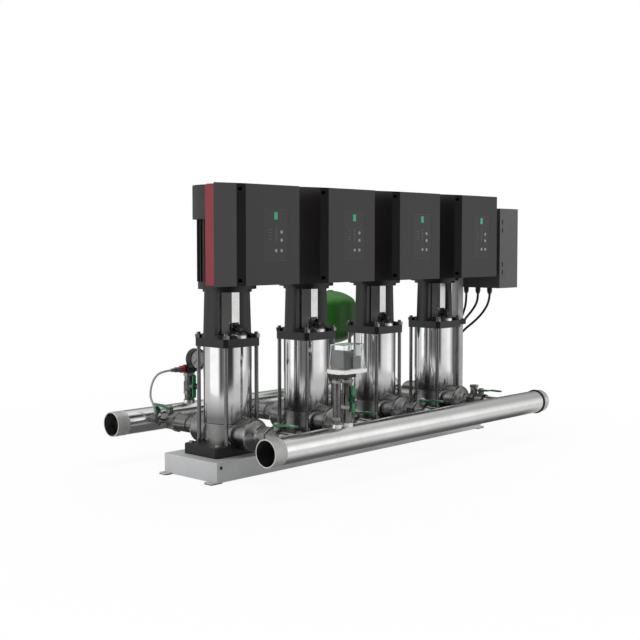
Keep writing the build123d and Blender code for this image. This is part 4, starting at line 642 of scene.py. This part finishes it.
def mix(name, colour, **settings):
    """Make a finish from screen colours, and keep it under its name."""
    if "patch" in settings:
        settings["patch"] = paint(*settings["patch"])
    finishes[name] = finish(name, paint(*colour), **settings)


def zone(low, high, colour, metal, rough, soft=0.1):
    """A box with a finish of its own; its corners and its soft edge are in millimetres."""
    return metres(low), metres(high), paint(*colour), metal, rough, soft / 1000


def level_zone(bottom, top, colour, metal, rough, soft=0.1):
    """A zone between two heights, as wide as the whole set."""
    return zone((-far, -far, bottom), (far, far, top), colour, metal, rough, soft)


print("zones are boxes in millimetres")

# %% [markdown]
# ### Steel
#
# Rolled sleeves are polished almost to a mirror, with a painted shade near the foot. Cast port housings are
# bead blasted, so they are rougher and pebbled. The manifolds are drawn tube with fine lines along it,
# ground bright at the open ends. Chrome, zinc and nickel are the same shader with another grey and
# roughness.

# %% Mix the steels
sleeve_painted_shade_top = 256
vent_boss_top = 484.5
vent_screw_top = 520
# Below the sleeves' lower part the polished steel is darker and rougher: a painted shade near the foot.
mix("polished_stainless", (222, 222, 222), metal=1.0, rough=0.07, patch_rough=0.12, scale=5,
    zones=[level_zone(-100, sleeve_painted_shade_top, (128, 128, 128), 1.0, 0.14, soft=62)])
mix("inner_stainless", (205, 205, 204), metal=1.0, rough=0.16, scale=14)
mix("cast_stainless", (156, 156, 155), patch=(124, 124, 123), metal=1.0, rough=0.24, patch_rough=0.34,
    scale=16, amount=0.6, pebble=0.06, pebble_scale=260)
mix("manifold_steel", (240, 240, 239), patch=(224, 224, 223), metal=1.0, rough=0.2, patch_rough=0.3,
    scale=7, lines=lengthwise, line_depth=0.04)
mix("ground_steel", (196, 196, 194), metal=0.6, scale=30, amount=0.3)
mix("cap_steel", (215, 215, 214), metal=0.9, rough=0.32, scale=20)
mix("frame_steel", (204, 205, 206), metal=0.2, scale=6, amount=0.2, dust=0.05)
mix("rotor_steel", (180, 180, 180), metal=1.0, rough=0.3, lines=upright, line_depth=0.1)
mix("stay_steel", (128, 128, 130), metal=1.0, rough=0.2, patch_rough=0.34, scale=30)
mix("bolt_zinc", (170, 171, 173), metal=1.0, rough=0.22, scale=60, amount=0.6)
mix("valve_nickel", (160, 160, 159), patch=(128, 128, 126), metal=1.0, rough=0.2, patch_rough=0.32,
    scale=30, amount=0.6)
mix("vent_chrome", (230, 230, 229), metal=1.0, rough=0.26, scale=40,
    zones=[level_zone(vent_boss_top, vent_screw_top, moulded_black, 0.0, 0.35)])
print("finishes so far:", len(finishes))

# %% [markdown]
# ### Black paint, red band and keypad
#
# The stools and motors wear a thick cast paint with a pebble that shows in its highlights. The drive
# covers are moulded plastic with a finer grain. The keypad is a smoother foil, and the screws in their deep
# holes are painted almost black, as painted shade.

# %% Mix the blacks and the drive's colours
mix("pad_rubber", (30, 30, 30), rough=0.8, pebble=0.5, dust=0.2)
mix("black_iron", (20, 20, 21), patch=(25, 25, 26), rough=0.3, patch_rough=0.4, scale=20, pebble=0.3,
    pebble_scale=600, dust=0.04, specular=0.4)
mix("plug_black", (20, 20, 20), rough=0.38, pebble=0.3)
mix("motor_paint", (34, 34, 35), rough=0.4, scale=18, pebble=0.5, pebble_scale=800, dust=0.12)
mix("motor_barrel", (20, 20, 21), rough=0.42, scale=18, pebble=0.5, pebble_scale=800, dust=0.08)
mix("drive_black", (25, 25, 26), patch=(29, 29, 30), rough=0.36, patch_rough=0.42, scale=4, amount=0.4,
    pebble=0.2, pebble_scale=1400, dust=0.04)
mix("casing_black", (26, 26, 27), rough=0.45, pebble=0.5)
mix("band_red", (132, 34, 38), patch=(122, 28, 32), rough=0.36, scale=5, pebble=0.2, pebble_scale=1400)
mix("panel_dark", (24, 25, 25), rough=0.3, patch_rough=0.32, scale=9, amount=0.2)
# The screws are painted almost black with little gloss: a painted shade for their deep holes.
mix("screw_painted_shade_black", (5, 5, 5), rough=0.55, specular=0.2, pebble=0.3)
mix("mark_grey", (150, 152, 152), rough=0.4, scale=80)
# bar_grey also colours the keypad's rim, where it is a painted highlight.
mix("bar_grey", (74, 76, 76), rough=0.4, scale=80)
mix("mark_green", (52, 168, 120), rough=0.3, scale=80, amount=0.3)
print("finishes so far:", len(finishes))

# %% [markdown]
# ### Valves, gauge, switch and tank
#
# The levers and the winged handles are dipped in green plastic, which is glossy and a little lumpy. Each
# lever's node also holds its steel stem and the nut on top, which are zones. So are the gauge's black
# cross, the sensor's red collars, and the carrier and inner parts of the white switch.

# %% Mix the colours of the fittings
dipped_green = {"patch": (10, 100, 50), "rough": 0.26, "scale": 40, "amount": 0.4, "pebble": 0.15,
                "coat": 0.3}
stem_ys = (318, -240)
stem_nut_reach = 11
mix("wing_green", (14, 118, 60), **dipped_green)
stem_nut_zones = [
    zone((-far, y - stem_nut_reach, 190.9), (far, y + stem_nut_reach, 200), bare_steel, 1.0, 0.25)
    for y in stem_ys
]
mix("lever_green", (14, 118, 60), **dipped_green,
    zones=[level_zone(0, 182, bare_steel, 1.0, 0.25), *stem_nut_zones])
gauge_cross_zone = zone((-460, 360, 297.9), (-380, 420, 326.5), moulded_black, 0.0, 0.4)
mix("column_nickel", (124, 124, 123), patch=(70, 70, 69), metal=1.0, rough=0.16, patch_rough=0.28, scale=30,
    amount=0.6, zones=[gauge_cross_zone])
red_collar_zones = [
    zone((left, 380, 290), (right, 415, 330), (176, 34, 30), 0.0, 0.35)
    for left, right in ((-458, -443.9), (-386.1, -372.9))
]
mix("sensor_grey", (128, 129, 130), metal=0.7, rough=0.3, scale=60, zones=red_collar_zones)
mix("cable_grey", (160, 160, 157), rough=0.45, scale=60, amount=0.4)
mix("gauge_black", (22, 22, 22), rough=0.36, pebble=0.3)
mix("dial_white", (252, 252, 248), rough=0.45, scale=20, amount=0.1)
mix("dial_ink", (24, 24, 24))
switch_carrier_zone = zone((-500, -440, 340), (-380, -350, 359.9), moulded_black, 0.0, 0.4)
terminal_zone = zone((-500, -440, 372.2), (-414, -350, 460), (48, 49, 48), 0.0, 0.5)
mechanism_zone = zone((-414, -440, 372.2), (-300, -350, 460), (100, 101, 100), 0.4, 0.4)
brass_screw_zone = zone((-455, -371.8, 340), (-440, -350, 359.8), (190, 130, 60), 1.0, 0.3)
mix("switch_parts", (250, 250, 247), rough=0.35, scale=30, amount=0.1,
    zones=[switch_carrier_zone, terminal_zone, mechanism_zone, brass_screw_zone])
mix("adjuster_brass", (200, 128, 56), metal=0.8, rough=0.3, scale=60)
mix("tank_green", (36, 104, 24), patch=(30, 90, 20), rough=0.45, scale=6, amount=0.4, pebble=0.2,
    pebble_scale=260, coat=0.1)
print("finishes so far:", len(finishes))

# %% [markdown]
# ### Cabinet, cables and inner parts
#
# The cabinet is sheet steel with a grey powder coat, which is finely pebbled. Its door has a dark screen,
# as one more zone. The inner parts only show in a cutaway, and still get the finish of the real ones.

# %% Mix the rest
powder_coat = {"rough": 0.42, "scale": 5, "amount": 0.25, "pebble": 0.4, "pebble_scale": 700}
screen_zone = zone((915.1, -150, 770), (930, -10, 900), (24, 40, 58), 0.0, 0.12)
mix("post_grey", (176, 176, 176), metal=0.4, rough=0.42, scale=10, dust=0.1)
mix("cabinet_grey", (72, 72, 73), **powder_coat, dust=0.06)
mix("door_grey", (72, 72, 73), **powder_coat, zones=[screen_zone])
mix("fitting_black", (20, 20, 21), rough=0.38, pebble=0.3)
mix("cable_black", (18, 18, 19), rough=0.42, scale=60, pebble=0.2)
mix("tank_rubber", (30, 30, 30), rough=0.7)
mix("seal_carbon", (120, 120, 122), metal=0.8, rough=0.3)
mix("copper_winding", (184, 108, 62), metal=1.0, rough=0.4)
mix("disc_brass", (196, 160, 90), metal=1.0, rough=0.3, scale=60)
mix("board_green", (40, 90, 50), rough=0.4, scale=50)
print("finishes so far:", len(finishes))

# %% [markdown]
# ### Clear covers
#
# The switch cover and the gauge's glass are clear. Light bends very little in them, as in a thin wall, and
# they cast no shade, so that what they cover stays as bright as it is behind real glass.

# %% Mix the clear plastic
thin_wall_bend = 1.2
clear_tint = (0.9, 0.93, 0.92, 1)
clear_rough = 0.03
smear_rough = 0.13


def mix_clear(name):
    """A clear moulded plastic or glass, with a faint smear in its gloss."""
    material = bpy.data.materials.new(name)
    material.use_nodes = True
    tree = material.node_tree
    shader = tree.nodes["Principled BSDF"]
    shader.inputs["Base Color"].default_value = clear_tint
    shader.inputs["Transmission Weight"].default_value = 1.0
    shader.inputs["IOR"].default_value = thin_wall_bend
    smears = group_node(tree, cloudy_group, Roughness=clear_rough, Patch_roughness=smear_rough, Scale=30.0)
    tree.links.new(smears.outputs["Roughness"], shader.inputs["Roughness"])
    finishes[name] = material


def let_light_in(piece):
    """A clear piece that neither shades what it covers nor stops soft light on its way there."""
    piece.visible_shadow = False
    piece.visible_diffuse = False


mix_clear("clear_plastic")
let_light_in(nodes["switch_cover"])
print("finishes in all:", len(finishes))

# %% [markdown]
# ### Dress the CAD nodes
#
# Most nodes take the finish that is named like their material in the record. A few need one of their own,
# because the record's material covers several colours, or because paint ages differently on them.

# %% Give each node and cord its finish
slot_of = {part["node"]: part["material_slot"] for part in frame["record"]["subparts"]}
finish_of_node = {
    "motor_housings": "motor_barrel",
    "drive_casings": "casing_black",
    "drive_screws": "screw_painted_shade_black",
    "stay_bolts": "stay_steel",
    "vent_plugs": "vent_chrome",
    "end_caps": "cap_steel",
    "branch_fittings": "column_nickel",
    "pressure_gauge": "gauge_black",
    "pressure_switch": "switch_parts",
    "suction_cock_handle": "wing_green",
    "discharge_cock_handle": "wing_green",
    "cabinet_door": "door_grey",
}
for name, node in nodes.items():
    node.data.materials.clear()
    node.data.materials.append(finishes[finish_of_node.get(name, slot_of[name])])
sensor_lead.data.materials.append(finishes["cable_grey"])
for cord in power_cords.values():
    cord.data.materials.append(finishes["cable_black"])
print("dressed:", len(nodes), "nodes and", 1 + len(power_cords), "cords")

# %% [markdown]
# ## Small pieces
#
# The pieces that CAD leaves out are small, so each starts from one of three simple shapes: a block with
# rounded edges, a rod with chamfered ends, and a turned ring spun from its outline. They are shaped in
# millimetres, like the CAD, and scaled to metres at the end, so that a bevel's size is easy to read. The
# pumps, the keypads, the gauge, the handle screws and the pipe ends find their places in CAD boxes.

# %% Turn a shape into a finished piece
sharp_edge = math.radians(35)
merge_distance = 0.001


def new_piece(name, shape, finish_name, smooth=True, body="root"):
    """An object from a bmesh in millimetres, finished and riding on a body."""
    bmesh.ops.remove_doubles(shape, verts=shape.verts, dist=merge_distance)
    bmesh.ops.recalc_face_normals(shape, faces=shape.faces)
    bmesh.ops.scale(shape, vec=(0.001, 0.001, 0.001), verts=shape.verts)
    mesh = bpy.data.meshes.new(name)
    shape.to_mesh(mesh)
    shape.free()
    mesh.materials.append(finishes[finish_name])
    if smooth:
        mesh.shade_smooth()
        mesh.set_sharp_from_angle(angle=sharp_edge)
    piece = bpy.data.objects.new(name, mesh)
    scene.collection.objects.link(piece)
    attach(piece, body)
    return piece


print("pieces are shaded sharp past", round(math.degrees(sharp_edge)), "degrees")

# %% Shape blocks, rods and turned rings
def add_block(shape, low, high, round_edge=0.0):
    """A box between two corners, with its edges rounded."""
    made = bmesh.ops.create_cube(shape, size=1.0)["verts"]
    size = [b - a for a, b in zip(low, high)]
    bmesh.ops.scale(shape, vec=size, verts=made)
    bmesh.ops.translate(shape, vec=[(a + b) / 2 for a, b in zip(low, high)], verts=made)
    if round_edge:
        edges = list({edge for vert in made for edge in vert.link_edges})
        bmesh.ops.bevel(shape, geom=edges, offset=round_edge, offset_type="OFFSET", segments=2,
                        profile=0.5, affect="EDGES", material=-1)


def add_rod(shape, start, axis, length, radius, top_radius=None, sides=32, chamfer=0.0):
    """A round rod or cone from a point, along a direction."""
    way = Vector(axis).normalized()
    turn = way.to_track_quat("Z", "Y").to_matrix().to_4x4()
    place = Matrix.Translation(Vector(start) + way * length / 2) @ turn
    made = bmesh.ops.create_cone(shape, cap_ends=True, segments=sides, radius1=radius,
                                 radius2=radius if top_radius is None else top_radius, depth=length,
                                 matrix=place)["verts"]
    if chamfer:
        rim = [e for v in made for e in v.link_edges if len(e.link_faces) == 2
               and any(len(f.verts) > 4 for f in e.link_faces)]
        bmesh.ops.bevel(shape, geom=list(set(rim)), offset=chamfer, offset_type="OFFSET", segments=2,
                        profile=0.5, affect="EDGES", material=-1)


def add_turned(shape, centre, axis, outline, sides=48):
    """A turned ring or cap: an outline of (radius, height) points, spun about an axis."""
    way = Vector(axis).normalized()
    turn = way.to_track_quat("Z", "Y").to_matrix().to_4x4()
    place = Matrix.Translation(Vector(centre)) @ turn
    points = [shape.verts.new(place @ Vector((radius, 0, height))) for radius, height in outline]
    edges = [shape.edges.new(pair) for pair in zip(points, points[1:])]
    bmesh.ops.spin(shape, geom=points + edges, cent=centre, axis=way, dvec=(0, 0, 0), steps=sides,
                   angle=2 * math.pi, use_merge=True, use_duplicate=False)
    bmesh.ops.remove_doubles(shape, verts=shape.verts, dist=merge_distance)


print("shapes: block, rod and turned ring")

# %% Read the places that the pieces share
def box_mm(node):
    """A node's lowest and highest corners at rest, in millimetres to one decimal."""
    return [[round(1000 * v, 1) for v in corner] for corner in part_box(node)]


def middle_mm(node):
    """The middle of a node's box, in millimetres."""
    low, high = box_mm(node)
    return [(a + b) / 2 for a, b in zip(low, high)]


pump_xs = [middle_mm(f"check_disc_{number}")[0] for number in (1, 2, 3, 4)]
pipe_ys = (-397, 397)
pipe_z = 141
forwards = (0, -1, 0)
along_pipe = (1, 0, 0)
up = (0, 0, 1)
fine_chamfer = 0.4
print("pumps at x", pump_xs)

# %% [markdown]
# ## The keypad on each drive
#
# A thin glossy foil is let into the front of each drive cover. On the real drive it is one printed sheet
# over rubber switches, glued into a moulded recess. Here the foil is CAD. Its raised keys are chamfered
# rods, and its light bar and status light are bevelled plates, so that each catches a glint. Its rim is
# too thin for that: four plain strips of a lighter grey paint a highlight along its edge.

# %% Place the keys, the light bar, the rim and the status light
panel_low, panel_high = box_mm("drive_displays")
panel_y = panel_low[1]
panel_sides = (panel_low[0] - pump_xs[0], panel_high[0] - pump_xs[-1])
# Places on the keypad are (across from the pump's axis, up from the floor).
key_spots = ((36, 824), (36, 797.5), (11, 763), (36, 763))
key_depth = 1.6
key_radius = 6.0
key_top_radius = 5.6
bar_plate = ((8.5, 793), (13.5, 842))
dash_plates = [((-24, z), (-10, z + 3)) for z in (800, 810, 820, 830)]
light_plate = ((2, 865), (18, 889))
rim_highlight_inset = 0.2
rim_highlight_width = 0.9
sunk = 0.6
left, right = panel_sides[0] + rim_highlight_inset, panel_sides[1] - rim_highlight_inset
low, high = panel_low[2] + rim_highlight_inset, panel_high[2] - rim_highlight_inset
# The rim is four strips of a lighter grey round the keypad: a painted highlight along its edge.
rim_highlight_plates = (
    ((left, low), (right, low + rim_highlight_width)),
    ((left, high - rim_highlight_width), (right, high)),
    ((left, low), (left + rim_highlight_width, high)),
    ((right - rim_highlight_width, low), (right, high)),
)


def keypad_plate(shape, pump_x, corners, rise, round_edge=0.0, depth=sunk):
    """A plate between two corners on a pump's keypad, which rises from it and is sunk into it."""
    (left, low), (right, high) = corners
    front, back = panel_y - rise, panel_y + depth
    add_block(shape, (pump_x + left, front, low), (pump_x + right, back, high), round_edge)


for number, x in enumerate(pump_xs, start=1):
    keys = bmesh.new()
    for dx, z in key_spots:
        add_rod(keys, (x + dx, panel_y + sunk, z), forwards, key_depth, key_radius, key_top_radius,
                chamfer=fine_chamfer)
    new_piece(f"drive_keys_{number}", keys, "mark_grey")
    bar = bmesh.new()
    keypad_plate(bar, x, bar_plate, 0.4, 0.4)
    for dash in dash_plates:
        keypad_plate(bar, x, dash, 0.4, 0.3)
    new_piece(f"drive_bar_{number}", bar, "bar_grey")
    rim = bmesh.new()
    for plate in rim_highlight_plates:
        keypad_plate(rim, x, plate, 0.25, depth=0.4)
    new_piece(f"drive_rim_highlight_{number}", rim, "bar_grey", smooth=False)
    light = bmesh.new()
    keypad_plate(light, x, light_plate, 0.6, 0.5)
    new_piece(f"drive_light_{number}", light, "mark_green")
print("keypads:", len(pump_xs), "with", len(key_spots), "keys each")

# %% [markdown]
# ## The vent screws
#
# A black screw stands askew in each vent's boss, so that its cap faces the reader, and a thin lock ring
# runs round it. Both are turned shapes, so an outline spun about the screw's own leaning axis is enough.

# %% Tilt a black cap and its lock ring on each vent
vent_lean = (0, -0.42, 0.9)
vent_y = -56
vent_z = 484
cap_outline = [(0, 14), (9, 14), (11, 12.5), (13, 12), (13, 3), (11, 0), (0, 0)]
lock_ring_outline = [(13.2, 4), (15.5, 5), (15.5, 8), (13.2, 9), (13.2, 4)]
for number, x in enumerate(pump_xs, start=1):
    for name, outline, finish_name in (
        ("vent_cap", cap_outline, "plug_black"),
        ("vent_ring", lock_ring_outline, "gauge_black"),
    ):
        turned = bmesh.new()
        add_turned(turned, (x, vent_y, vent_z), vent_lean, outline)
        new_piece(f"{name}_{number}", turned, finish_name)
print("vent caps:", len(pump_xs))

# %% [markdown]
# ## The gauge
#
# A pressure gauge is a black case with a white dial behind flat glass. Case, dial and glass are turned
# about one axis. The ticks are thin plates set round three quarters of a circle, as if stamped, and the
# numbers are text that becomes a mesh, so that it can be moved to its place like any other.

# %% Turn the gauge's case, dial and glass
gauge_centre = Vector(middle_mm("pressure_gauge"))
case_outline = [(0, -16), (36, -16), (39, -13), (39, 14.5), (37.5, 16), (35, 16), (35, -12), (0, -12)]
dial_outline = [(1.8, -12), (35, -12), (35, 7), (1.8, 7), (1.8, -12)]
glass_outline = [(0, 10), (35, 10), (35, 12), (0, 12)]


def gauge_piece(name, outline, finish_name):
    """A turned piece on the gauge's axis; heights run towards the reader."""
    shape = bmesh.new()
    add_turned(shape, gauge_centre, forwards, outline, sides=64)
    piece = new_piece(name, shape, finish_name)
    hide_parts("pressure_gauge")
    return piece


gauge_piece("gauge_case", case_outline, "gauge_black")
gauge_piece("gauge_dial", dial_outline, "dial_white")
let_light_in(gauge_piece("gauge_glass", glass_outline, "clear_plastic"))
print("gauge at", [round(v) for v in gauge_centre])

# %% Set the ticks round the dial
tick_count = 41
ticks_per_long = 5
# A tick is (inner radius, width), and every tick ends at the same radius.
long_tick = (26, 0.9)
short_tick = (29, 0.5)
tick_end = 32
tick_thickness = 0.3
first_angle = 225
sweep = 270
dial_top = 7.0


def tick_angle(step):
    """The angle of a tick, in radians, from the first one clockwise."""
    return math.radians(first_angle - sweep * step / (tick_count - 1))


ticks = bmesh.new()
for step in range(tick_count):
    inner, width = short_tick if step % ticks_per_long else long_tick
    before = set(ticks.verts)
    add_block(ticks, (inner, -width / 2, dial_top), (tick_end, width / 2, dial_top + tick_thickness))
    new = [vert for vert in ticks.verts if vert not in before]
    turn = Matrix.Rotation(tick_angle(step), 4, "Z")
    place = Matrix.Translation(gauge_centre) @ Matrix.Rotation(math.pi / 2, 4, "X") @ turn
    bmesh.ops.transform(ticks, matrix=place, verts=new)
new_piece("gauge_ticks", ticks, "dial_ink")
print("ticks:", tick_count)

# %% Stamp plain numbers on the dial
ticks_per_number = 10
number_step = 4
number_size = 9
number_thickness = 0.1
number_radius = 20
number_lift = dial_top + 0.2
for step in range(0, tick_count, ticks_per_number):
    angle = tick_angle(step)
    words = bpy.data.curves.new(f"dial_number_{step}", "FONT")
    words.body = str(step // ticks_per_number * number_step)
    words.size = number_size / 1000
    words.align_x = "CENTER"
    words.align_y = "CENTER"
    words.extrude = number_thickness / 1000
    words.materials.append(finishes["dial_ink"])
    right, rise = number_radius * math.cos(angle), number_radius * math.sin(angle)
    spot = gauge_centre + Vector((right, -number_lift, rise))
    mesh = bpy.data.meshes.new_from_object(bpy.data.objects.new(f"dial_number_{step}", words))
    mesh.transform(Matrix.Translation(spot / 1000) @ Matrix.Rotation(math.pi / 2, 4, "X"))
    flat = bpy.data.objects.new(f"dial_number_{step}_mesh", mesh)
    scene.collection.objects.link(flat)
    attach(flat, "root")
print("numbers run in steps of", number_step)

# %% [markdown]
# ## Screws, nuts and small fittings
#
# These are the pieces that make the set look assembled by hand. A bright screw on a black washer holds each
# winged handle, and turns with it. Each small column under the gauge and the switch has two hex nuts. A
# capped tapping valve stands at the last pump, and a brass head tops the switch's adjuster.

# %% Screw on the winged handles
washer_gap = 0.2
washer_thickness = 2.0
washer_radius = 10.5
screw_length = 4.5
screw_radius = 5.5
screw_top_radius = 5.0
for side in ("suction", "discharge"):
    handle_body = f"{side}_cock_handle"
    x, _, z = middle_mm(handle_body)
    front_y = box_mm(handle_body)[0][1] - washer_gap
    spot = (x, round(front_y, 1), z)
    screw = bmesh.new()
    add_rod(screw, spot, forwards, screw_length, screw_radius, screw_top_radius, 6, fine_chamfer)
    new_piece(f"{side}_handle_screw", screw, "bolt_zinc", smooth=False, body=handle_body)
    washer = bmesh.new()
    add_rod(washer, spot, forwards, washer_thickness, washer_radius, chamfer=fine_chamfer)
    new_piece(f"{side}_handle_washer", washer, "gauge_black", body=handle_body)
print("handle screws: 2, washers: 2")

# %% Add the column nuts, the tapping valve and the adjuster's head
# A nut is (x, y, foot, radius, height).
column_nuts = (
    (-415, 397, 284, 22, 13),
    (-402, -397, 327, 21, 12),
    (-452, -397, 329, 17, 11),
    (-415, 397, 216, 22, 12),
    (-402, -397, 240, 21, 12),
    (-452, -397, 206, 17, 12),
)
nuts = bmesh.new()
for x, y, foot, radius, height in column_nuts:
    add_rod(nuts, (x, y, foot), up, height, radius, sides=6, chamfer=1.2)
new_piece("column_nuts", nuts, "valve_nickel", smooth=False)
tapping_y = -205
# The tapping valve's body and cap are (foot, height, radius, chamfer).
tapping_body = (158, 44, 15, 1.0)
tapping_cap = (198, 9, 18, 1.2)
tapping = bmesh.new()
for foot, height, radius, chamfer in (tapping_body, tapping_cap):
    add_rod(tapping, (pump_xs[-1], tapping_y, foot), up, height, radius, chamfer=chamfer)
new_piece("tapping_valve", tapping, "valve_nickel")
adjuster_foot = (-448.5, -367, 372.2)
adjuster_height = 12
adjuster_radius = 3.2
adjuster_head = bmesh.new()
add_rod(adjuster_head, adjuster_foot, up, adjuster_height, adjuster_radius, chamfer=fine_chamfer)
new_piece("adjuster_head", adjuster_head, "adjuster_brass")
print("column nuts:", len(column_nuts))

# %% [markdown]
# ## Rubber, sleeve rings and pipe ends
#
# A rubber gasket shows between each manifold and its cap, and rubber plugs close the frame's lifting
# holes. A dark ring marks the seal at each sleeve's foot. The open pipe ends are ground bright for a
# coupling: a thin band with the coupling's groove in it lies over the tube.

# %% Add the gaskets and the plugs
gasket_x = 747.5
gasket_outline = [(44.6, 0), (48, 0), (48.6, 1), (48.6, 5), (48, 6), (44.6, 6), (44.6, 0)]
lifting_hole = (727, 131, 52)
plug_length = 5
plug_radius = 5.9
rubber = bmesh.new()
for y in pipe_ys:
    add_turned(rubber, (gasket_x, y, pipe_z), along_pipe, gasket_outline)
for end in (-1, 1):
    for side in (-1, 1):
        spot = (end * lifting_hole[0], side * lifting_hole[1], lifting_hole[2])
        add_rod(rubber, spot, (0, side, 0), plug_length, plug_radius, chamfer=fine_chamfer)
new_piece("gaskets_and_plugs", rubber, "gauge_black")
print("gaskets: 2, plugs: 4")

# %% Ring the sleeves and grind the pipe ends
seam_z = 174.8
seam_outline = [(83, 0), (84.1, 0.3), (84.1, 2), (83, 2.4), (83, 0)]
seam_rings = bmesh.new()
for x in pump_xs:
    add_turned(seam_rings, (x, 0, seam_z), up, seam_outline, sides=96)
new_piece("seam_rings", seam_rings, "gauge_black")
pipe_end_x = box_mm("discharge_manifold")[0][0]
ground_outline = [
    (44.46, 0.4), (44.8, 0.8), (44.8, 33), (44.5, 34), (44.5, 41),
    (44.8, 42), (44.8, 52), (44.46, 52.4), (44.46, 0.4),
]
ground_ends = bmesh.new()
for y in pipe_ys:
    add_turned(ground_ends, (pipe_end_x, y, pipe_z), along_pipe, ground_outline, sides=96)
new_piece("ground_ends", ground_ends, "ground_steel")
print("sleeve rings:", len(pump_xs), "ground pipe ends:", len(pipe_ys))

# %% [markdown]
# ## Weld beads
#
# Each stub is welded to its manifold. A bead is a row of small overlapping lumps, the way a welder's
# steps freeze, so a ring of little spheres draws it well. Each has only a few faces.

# %% Run a weld bead round each stub
stub_y = 355
bead_radius = 27.5
lumps = 30
lump_radius = 2.6
across = Vector((1, 0, 0))
down = Vector((0, 0, -1))
beads = bmesh.new()
for x in pump_xs:
    for side in (-1, 1):
        centre = Vector((x, side * stub_y, pipe_z))
        for step in range(lumps):
            angle = 2 * math.pi * step / lumps
            spot = centre + bead_radius * (math.cos(angle) * across + math.sin(angle) * down)
            bmesh.ops.create_icosphere(beads, subdivisions=1, radius=lump_radius,
                                       matrix=Matrix.Translation(spot))
new_piece("weld_beads", beads, "cast_stainless")
print("weld beads:", 2 * len(pump_xs))

# %% [markdown]


# %% [markdown]
# ## The last step
#
# The dressed set should be as large as the CAD. Last, the scene is brought up to date.

# %% Bring the scene up to date
bpy.context.view_layer.update()
